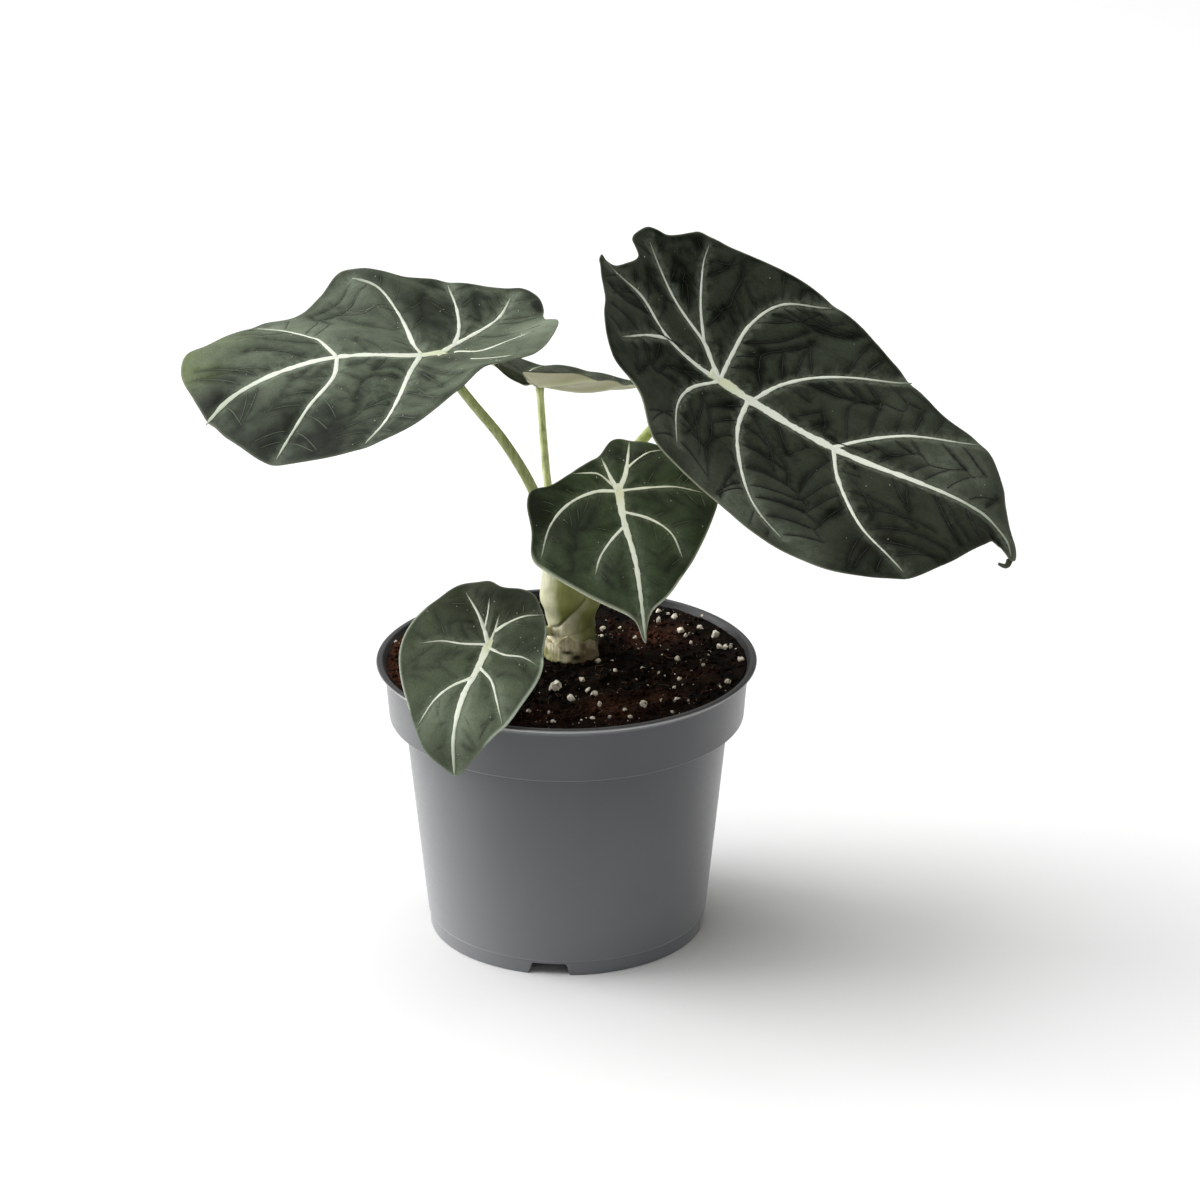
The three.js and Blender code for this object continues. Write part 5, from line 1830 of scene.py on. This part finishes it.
MIDDLE = Blade(
    name="middle", place=(16, -24, 154.5), heading=-79, pitch=-33, roll=0,
    midrib=((-25, -6), (-10, -1), (0, 0), (20, 1), (45, -2), (54, -4)),
    margin=(
        (-23, 2.5, 0), (-16, -3, 0), (-7, -13, 2), (-1, -21.5, 3), (0.5, -27.5, 3), (5.5, -29.5, 3),
        (15, -29.5, 1), (24, -30.5, 0), (29, -27, 0), (36, -19, 0), (41.5, -11, 0), (45.5, -4.5, 0),
        (47.5, -2.5, 0), (53.5, -1, 0), (54, -0.5, 0), (49.5, 0.5, 0), (45, 2.5, 0), (40.5, 8, 0),
        (33, 14.5, 0), (25, 20.5, 0), (14.5, 26.5, 0), (6, 30, 0), (-3, 30, 0), (-12.5, 25, 0),
        (-19.5, 15.5, 0), (-22.5, 10, 0), (-24, 5.5, 0),
    ),
    veins=(
        Vein(2.8, 0.7, ((-3, 0.5), (12, -0.5), (27, 0.5), (43, 0), (53, -0.5)), 0.9),
        Vein(1.4, 0.4, ((0, 0), (0, -7), (4, -15.5), (12, -23), (24, -28))),
        Vein(1.2, 0.4, ((14, -0.5), (19, -5.5), (25, -10), (31, -12.5))),
        Vein(1.3, 0.4, ((0, 0), (-0.5, 11), (0, 18), (3, 26))),
        Vein(1.3, 0.4, ((8.5, 0), (12, 7.5), (18, 13), (27, 15))),
        Vein(2.0, 0.4, ((0, 0), (-6, -1.5), (-15, -2.5))),
        Vein(2.0, 0.4, ((0, 0), (-5.5, 3), (-10, 4.5), (-22.5, 8))),
    ),
    small_veins=(
        Vein(1.2, 0.3, ((-2.5, -1), (-6.5, -5), (-6.5, -9), (-6, -13.5))),
        Vein(1.1, 0.3, ((-9.5, 4.5), (-12.5, 8), (-15.5, 12.5), (-16.5, 18))),
    ),
    folds=Folds(height=0.3, pitch=5.0, thread=0.22, threaded=0.7, reach=14), seamed=False,
    spokes=400, rings=80,
    velvet=VelvetFinish(
        "velvet_middle", shade_in_folds=(24, 29, 20), body=(34, 44, 26), pale=(56, 68, 46), stain=(26, 31, 19),
        flush=(150, 146, 132), halo=(86, 97, 76), hem=(188, 196, 170), sheen=0.06, gloss=0.12,
    ),
    crease=(68, 79, 58),
    stains=(Patch(10, 27, 9, 0.7), Patch(30, 18, 9, 0.4), Patch(8, -26, 9, 0.8), Patch(-14, 8, 9, 0.6)),
    flushes=(Patch(54, 0, 5.5, 1.1),),
    greys=(Patch(26, 6, 9, 0.25), Patch(30, -10, 8, 0.25)),
    hems=(Hem(-56, -2, 0.9, 0.5), Hem(0, 24, 0.6, 0.6), Hem(24, 60, 0.4, 0.3)),
    dust=26, seed=5,
)

LOW = Blade(
    name="low", place=(-24, -37, 109.5), heading=-110, pitch=-36, roll=0,
    midrib=((-24, -3), (-10, 0), (0, 0), (20, 1), (35, -3), (44, -7)),
    margin=(
        (-21, -16, 0), (-13.5, -21, 0), (-3, -26.5, 0), (5.5, -27, 0), (15, -24, 0), (27, -17.5, 0),
        (38, -10, 0), (41.5, -4, 0), (43, 1.5, 0), (39, 5.5, 0), (31, 11, 0), (22.5, 16.5, 0),
        (10, 20, 0), (-0.3, 18.1, 0), (-7.9, 16.7, 0), (-12.1, 14.6, 0), (-16.6, 11.7, 0),
        (-20.5, 8.7, 0), (-22.4, 4, 0), (-22.2, -2.5, 0), (-24, -7.5, 0), (-23, -11, 0),
    ),
    veins=(
        Vein(2.6, 0.8, ((-2, 0), (10, -0.5), (20, -2), (32, -2), (43, 0.5)), 0.9),
        Vein(1.1, 0.3, ((0, 0), (1, -8), (1, -15), (3, -22))),
        Vein(1.2, 0.3, ((13, -1), (17, -6.5), (23, -11), (31, -14))),
        Vein(1.1, 0.3, ((1, 0), (3, 6), (3, 12), (5, 17))),
        Vein(1.2, 0.3, ((9, 0), (13, 5), (19, 8.5), (27, 12.5))),
        Vein(1.8, 0.3, ((0, 0), (-6, -3.5), (-11, -7), (-18.5, -13.5))),
        Vein(1.3, 0.3, ((-5, 0.5), (-9, 4.5), (-12, 8.5), (-13.5, 14))),
    ),
    small_veins=(
        Vein(0.9, 0.2, ((-5, -3), (-11, -3.5), (-17, -5))),
        Vein(1.4, 0.2, ((0, 0), (-5, 0.5), (-11, 0.5))),
    ),
    folds=Folds(height=0.24, pitch=5.0, thread=0.2, threaded=0.6, reach=12), seamed=False,
    spokes=340, rings=70,
    velvet=VelvetFinish(
        "velvet_low", shade_in_folds=(36, 42, 30), body=(56, 64, 48), pale=(77, 86, 67), stain=(36, 41, 30),
        flush=(112, 122, 96), halo=(104, 114, 94), hem=(172, 182, 164), sheen=0.08, gloss=0.15,
    ),
    crease=(84, 94, 74),
    stains=(
        Patch(-15, -9, 11, 0.8), Patch(-16, 6, 9, 0.6), Patch(39, 0, 5, 0.4), Patch(5, -14, 7, 0.2),
        Patch(1, 12, 8, 0.5),
    ),
    greys=(Patch(26, 5, 10, 0.6), Patch(28, -5, 9, 0.7), Patch(6, -18, 6, 0.3)),
    hems=(Hem(12, 84, 1.0, 0.6), Hem(84, 120, 0.5, 0.4), Hem(-115, -30, 0.6, 0.6)),
    dust=26, seed=6,
)

BACK = Blade(
    name="back", place=(-8, 22, 174.4), heading=25, pitch=-12, roll=-8,
    midrib=((-20, 3), (-8, 0.5), (0, 0), (12, -0.5), (25, 1.8), (38, 4)),
    margin=(
        (-4.5, -2, -1.2), (-7, -5.5, -0.8), (-10, -10, 0), (-14, -15.5, 2.2), (-10.5, -18.5, 3.6),
        (-3, -19.8, 4.9), (5, -19.2, 5.4), (15, -16.5, 3.9), (25, -11, 0.5), (32, -5, -1.5),
        (38, 0, -2.3), (32, 5, -1.1), (24, 12, 1.6), (14, 18, 3.9), (4, 21, 4.3), (-8, 21, 5.3),
        (-17, 18, 4.6), (-21, 14, 4.1), (-19, 9, 4), (-14, 6.2, 1.5), (-9, 3.6, -1), (-5, 1.5, -1.8),
    ),
    veins=(
        Vein(2.0, 0.5, ((-1, 0), (10, 0), (20, 0), (36, 0))),
        Vein(1.1, 0.3, ((0, 0), (0, -8), (5, -15), (10, -18))),
        Vein(1.1, 0.3, ((0, 0), (0, 8), (5, 16), (10, 19))),
        Vein(1.0, 0.3, ((10, 0), (14, -6), (22, -11))),
        Vein(1.0, 0.3, ((10, 0), (14, 6), (22, 11))),
    ),
    small_veins=(
        Vein(1.0, 0.3, ((0, 0), (-5, -7), (-11, -13.5))),
        Vein(1.0, 0.3, ((0, 0), (-7, 7), (-15, 11.5))),
    ),
    folds=Folds(height=0.25, pitch=5.0, thread=0.2, threaded=0.6, reach=12), seamed=False,
    spokes=280, rings=56,
    velvet=VelvetFinish(
        "velvet_back", shade_in_folds=(24, 28, 20), body=(48, 54, 42), pale=(68, 74, 60), stain=(46, 45, 34),
        flush=(70, 84, 60), halo=(80, 88, 72), hem=(140, 144, 124), sheen=0.1,
    ),
    crease=(66, 74, 58),
    stains=(Patch(0, -12, 8, 0.3),), dust=10, seed=4,
)

GREEN_STALK = FleshFinish("stalk_green", (132, 142, 86), (164, 172, 120), (84, 92, 46), (150, 152, 100))
PALE_STALK = FleshFinish("stalk_pale", (172, 182, 122), (208, 214, 164), (84, 92, 46), (176, 178, 130))
BRIGHT_STALK = FleshFinish("stalk_bright", (150, 164, 80), (182, 190, 112), (90, 98, 46), (150, 152, 96))
LOW_STALK = FleshFinish("stalk_low", (140, 146, 96), (176, 182, 132), (84, 92, 46), (214, 208, 172))


@dataclass
class Alocasia:
    """The whole plant with its pot, built in order from the pot up to the leaves."""

    stalks: tuple[Stalk, ...] = (
        Stalk(LEFT, (-3.2, 6.6, 117),
              ((-6, 5, 131), (-10.7, 2, 146), (-19.4, -2, 162.8), (-29.3, -5.5, 177)),
              1.85, 1.4, GREEN_STALK),
        Stalk(RIGHT, (5.8, 8.4, 117), ((9, 8.2, 131), (15.4, 6.4, 147), (24.5, 3, 162), (36, -6, 176)),
              1.9, 1.5, BRIGHT_STALK),
        Stalk(MIDDLE, (3.4, 4.2, 117), ((4.6, 1.2, 130), (7.6, -6.5, 140), (11.8, -15.5, 148)),
              1.5, 1.2, GREEN_STALK),
        Stalk(LOW, (-3.6, 6, 96.5), ((-9, 0.5, 98), (-15, -11, 100.5), (-20, -24, 103.8)),
              1.4, 1.2, LOW_STALK),
        Stalk(BACK, (-1.8, 11.6, 117), ((-3.4, 13.2, 130), (-5.7, 15.6, 142), (-7, 18.5, 156)),
              1.4, 1.15, PALE_STALK),
    )

    def build(self) -> None:
        """Builds every piece of the plant and its pot."""
        NurseryPot().build()
        Soil().build()
        Rootstock().build()
        DrySheath().build()
        underside = UndersideFinish().build()
        dust = GrainFinish("leaf_dust", (205, 208, 196), (150, 152, 140)).build()
        for stalk in self.stalks:
            stalk.build()
            stalk.blade.build(underside, dust)


# ---- studio ----
LAMP_AIM = np.array([0.0, 0.0, 0.1])


@dataclass(frozen=True)
class Lamp:
    """A soft square lamp aimed at LAMP_AIM, with its bearing and elevation seen from there in degrees."""

    name: str
    bearing: float
    elevation: float
    distance: float
    size: float
    watts: float

    def build(self) -> None:
        """Hangs the lamp and turns it to its aim."""
        data = bpy.data.lights.new(self.name, "AREA")
        data.shape = "SQUARE"
        data.size = self.size
        data.energy = self.watts
        lamp = new_object(self.name, data)
        b, e = math.radians(self.bearing), math.radians(self.elevation)
        away = np.array([math.cos(b) * math.cos(e), math.sin(b) * math.cos(e), math.sin(e)])
        lamp.location = LAMP_AIM + away * self.distance
        lamp.rotation_euler = (math.pi / 2 - e, 0.0, b + math.pi / 2)


@dataclass(frozen=True)
class Studio:
    """A white floor, a key lamp high on the left, low panels at both sides, and an even white sky."""

    lens: float = 124.0
    sensor: float = 36.0
    camera_mm: Triple = (0.0, -1208.0, 580.0)
    tilt_down: float = 21.3
    turn_right: float = 0.5
    sky: float = 0.27
    floor_half: float = 30.0
    floor_z: float = -0.00005
    lamps: tuple[Lamp, ...] = (
        Lamp("key_lamp", 168.0, 68.0, 3.6, 4.2, 168.0),
        Lamp("left_panel", 170.0, 14.0, 3.6, 2.4, 138.0),
        Lamp("right_glow", -12.0, 12.0, 4.0, 1.6, 3.4),
    )

    def build(self) -> None:
        """Sets the camera, lights and floor, and plain colour management."""
        scene = bpy.context.scene
        scene.view_settings.view_transform = "Standard"
        data = bpy.data.cameras.new("camera")
        data.lens = self.lens
        data.sensor_width = self.sensor
        camera = new_object("camera", data)
        camera.location = np.array(self.camera_mm) * MM + POT_AXIS
        camera.rotation_euler = (math.radians(90 - self.tilt_down), 0.0, -math.radians(self.turn_right))
        scene.camera = camera
        for lamp in self.lamps:
            lamp.build()
        world = bpy.data.worlds.new("studio_sky")
        world.use_nodes = True
        background = world.node_tree.nodes["Background"]
        background.inputs["Color"].default_value = (1.0, 1.0, 1.0, 1.0)
        background.inputs["Strength"].default_value = self.sky
        scene.world = world
        self.lay_floor()

    def lay_floor(self) -> None:
        """Lays a square floor just under the pot's foot."""
        half, low = self.floor_half, self.floor_z
        corners = [(-half, -half, low), (half, -half, low), (half, half, low), (-half, half, low)]
        mesh = bpy.data.meshes.new("studio_floor")
        mesh.from_pydata(corners, [], [(0, 1, 2, 3)])
        mesh.materials.append(FloorFinish().build())
        new_object("studio_floor", mesh)


def main() -> None:
    """Builds the studio and the plant."""
    logging.basicConfig(level=logging.INFO, format="%(name)s: %(message)s")
    Studio().build()
    Alocasia().build()


if __name__ == "__main__":
    main()
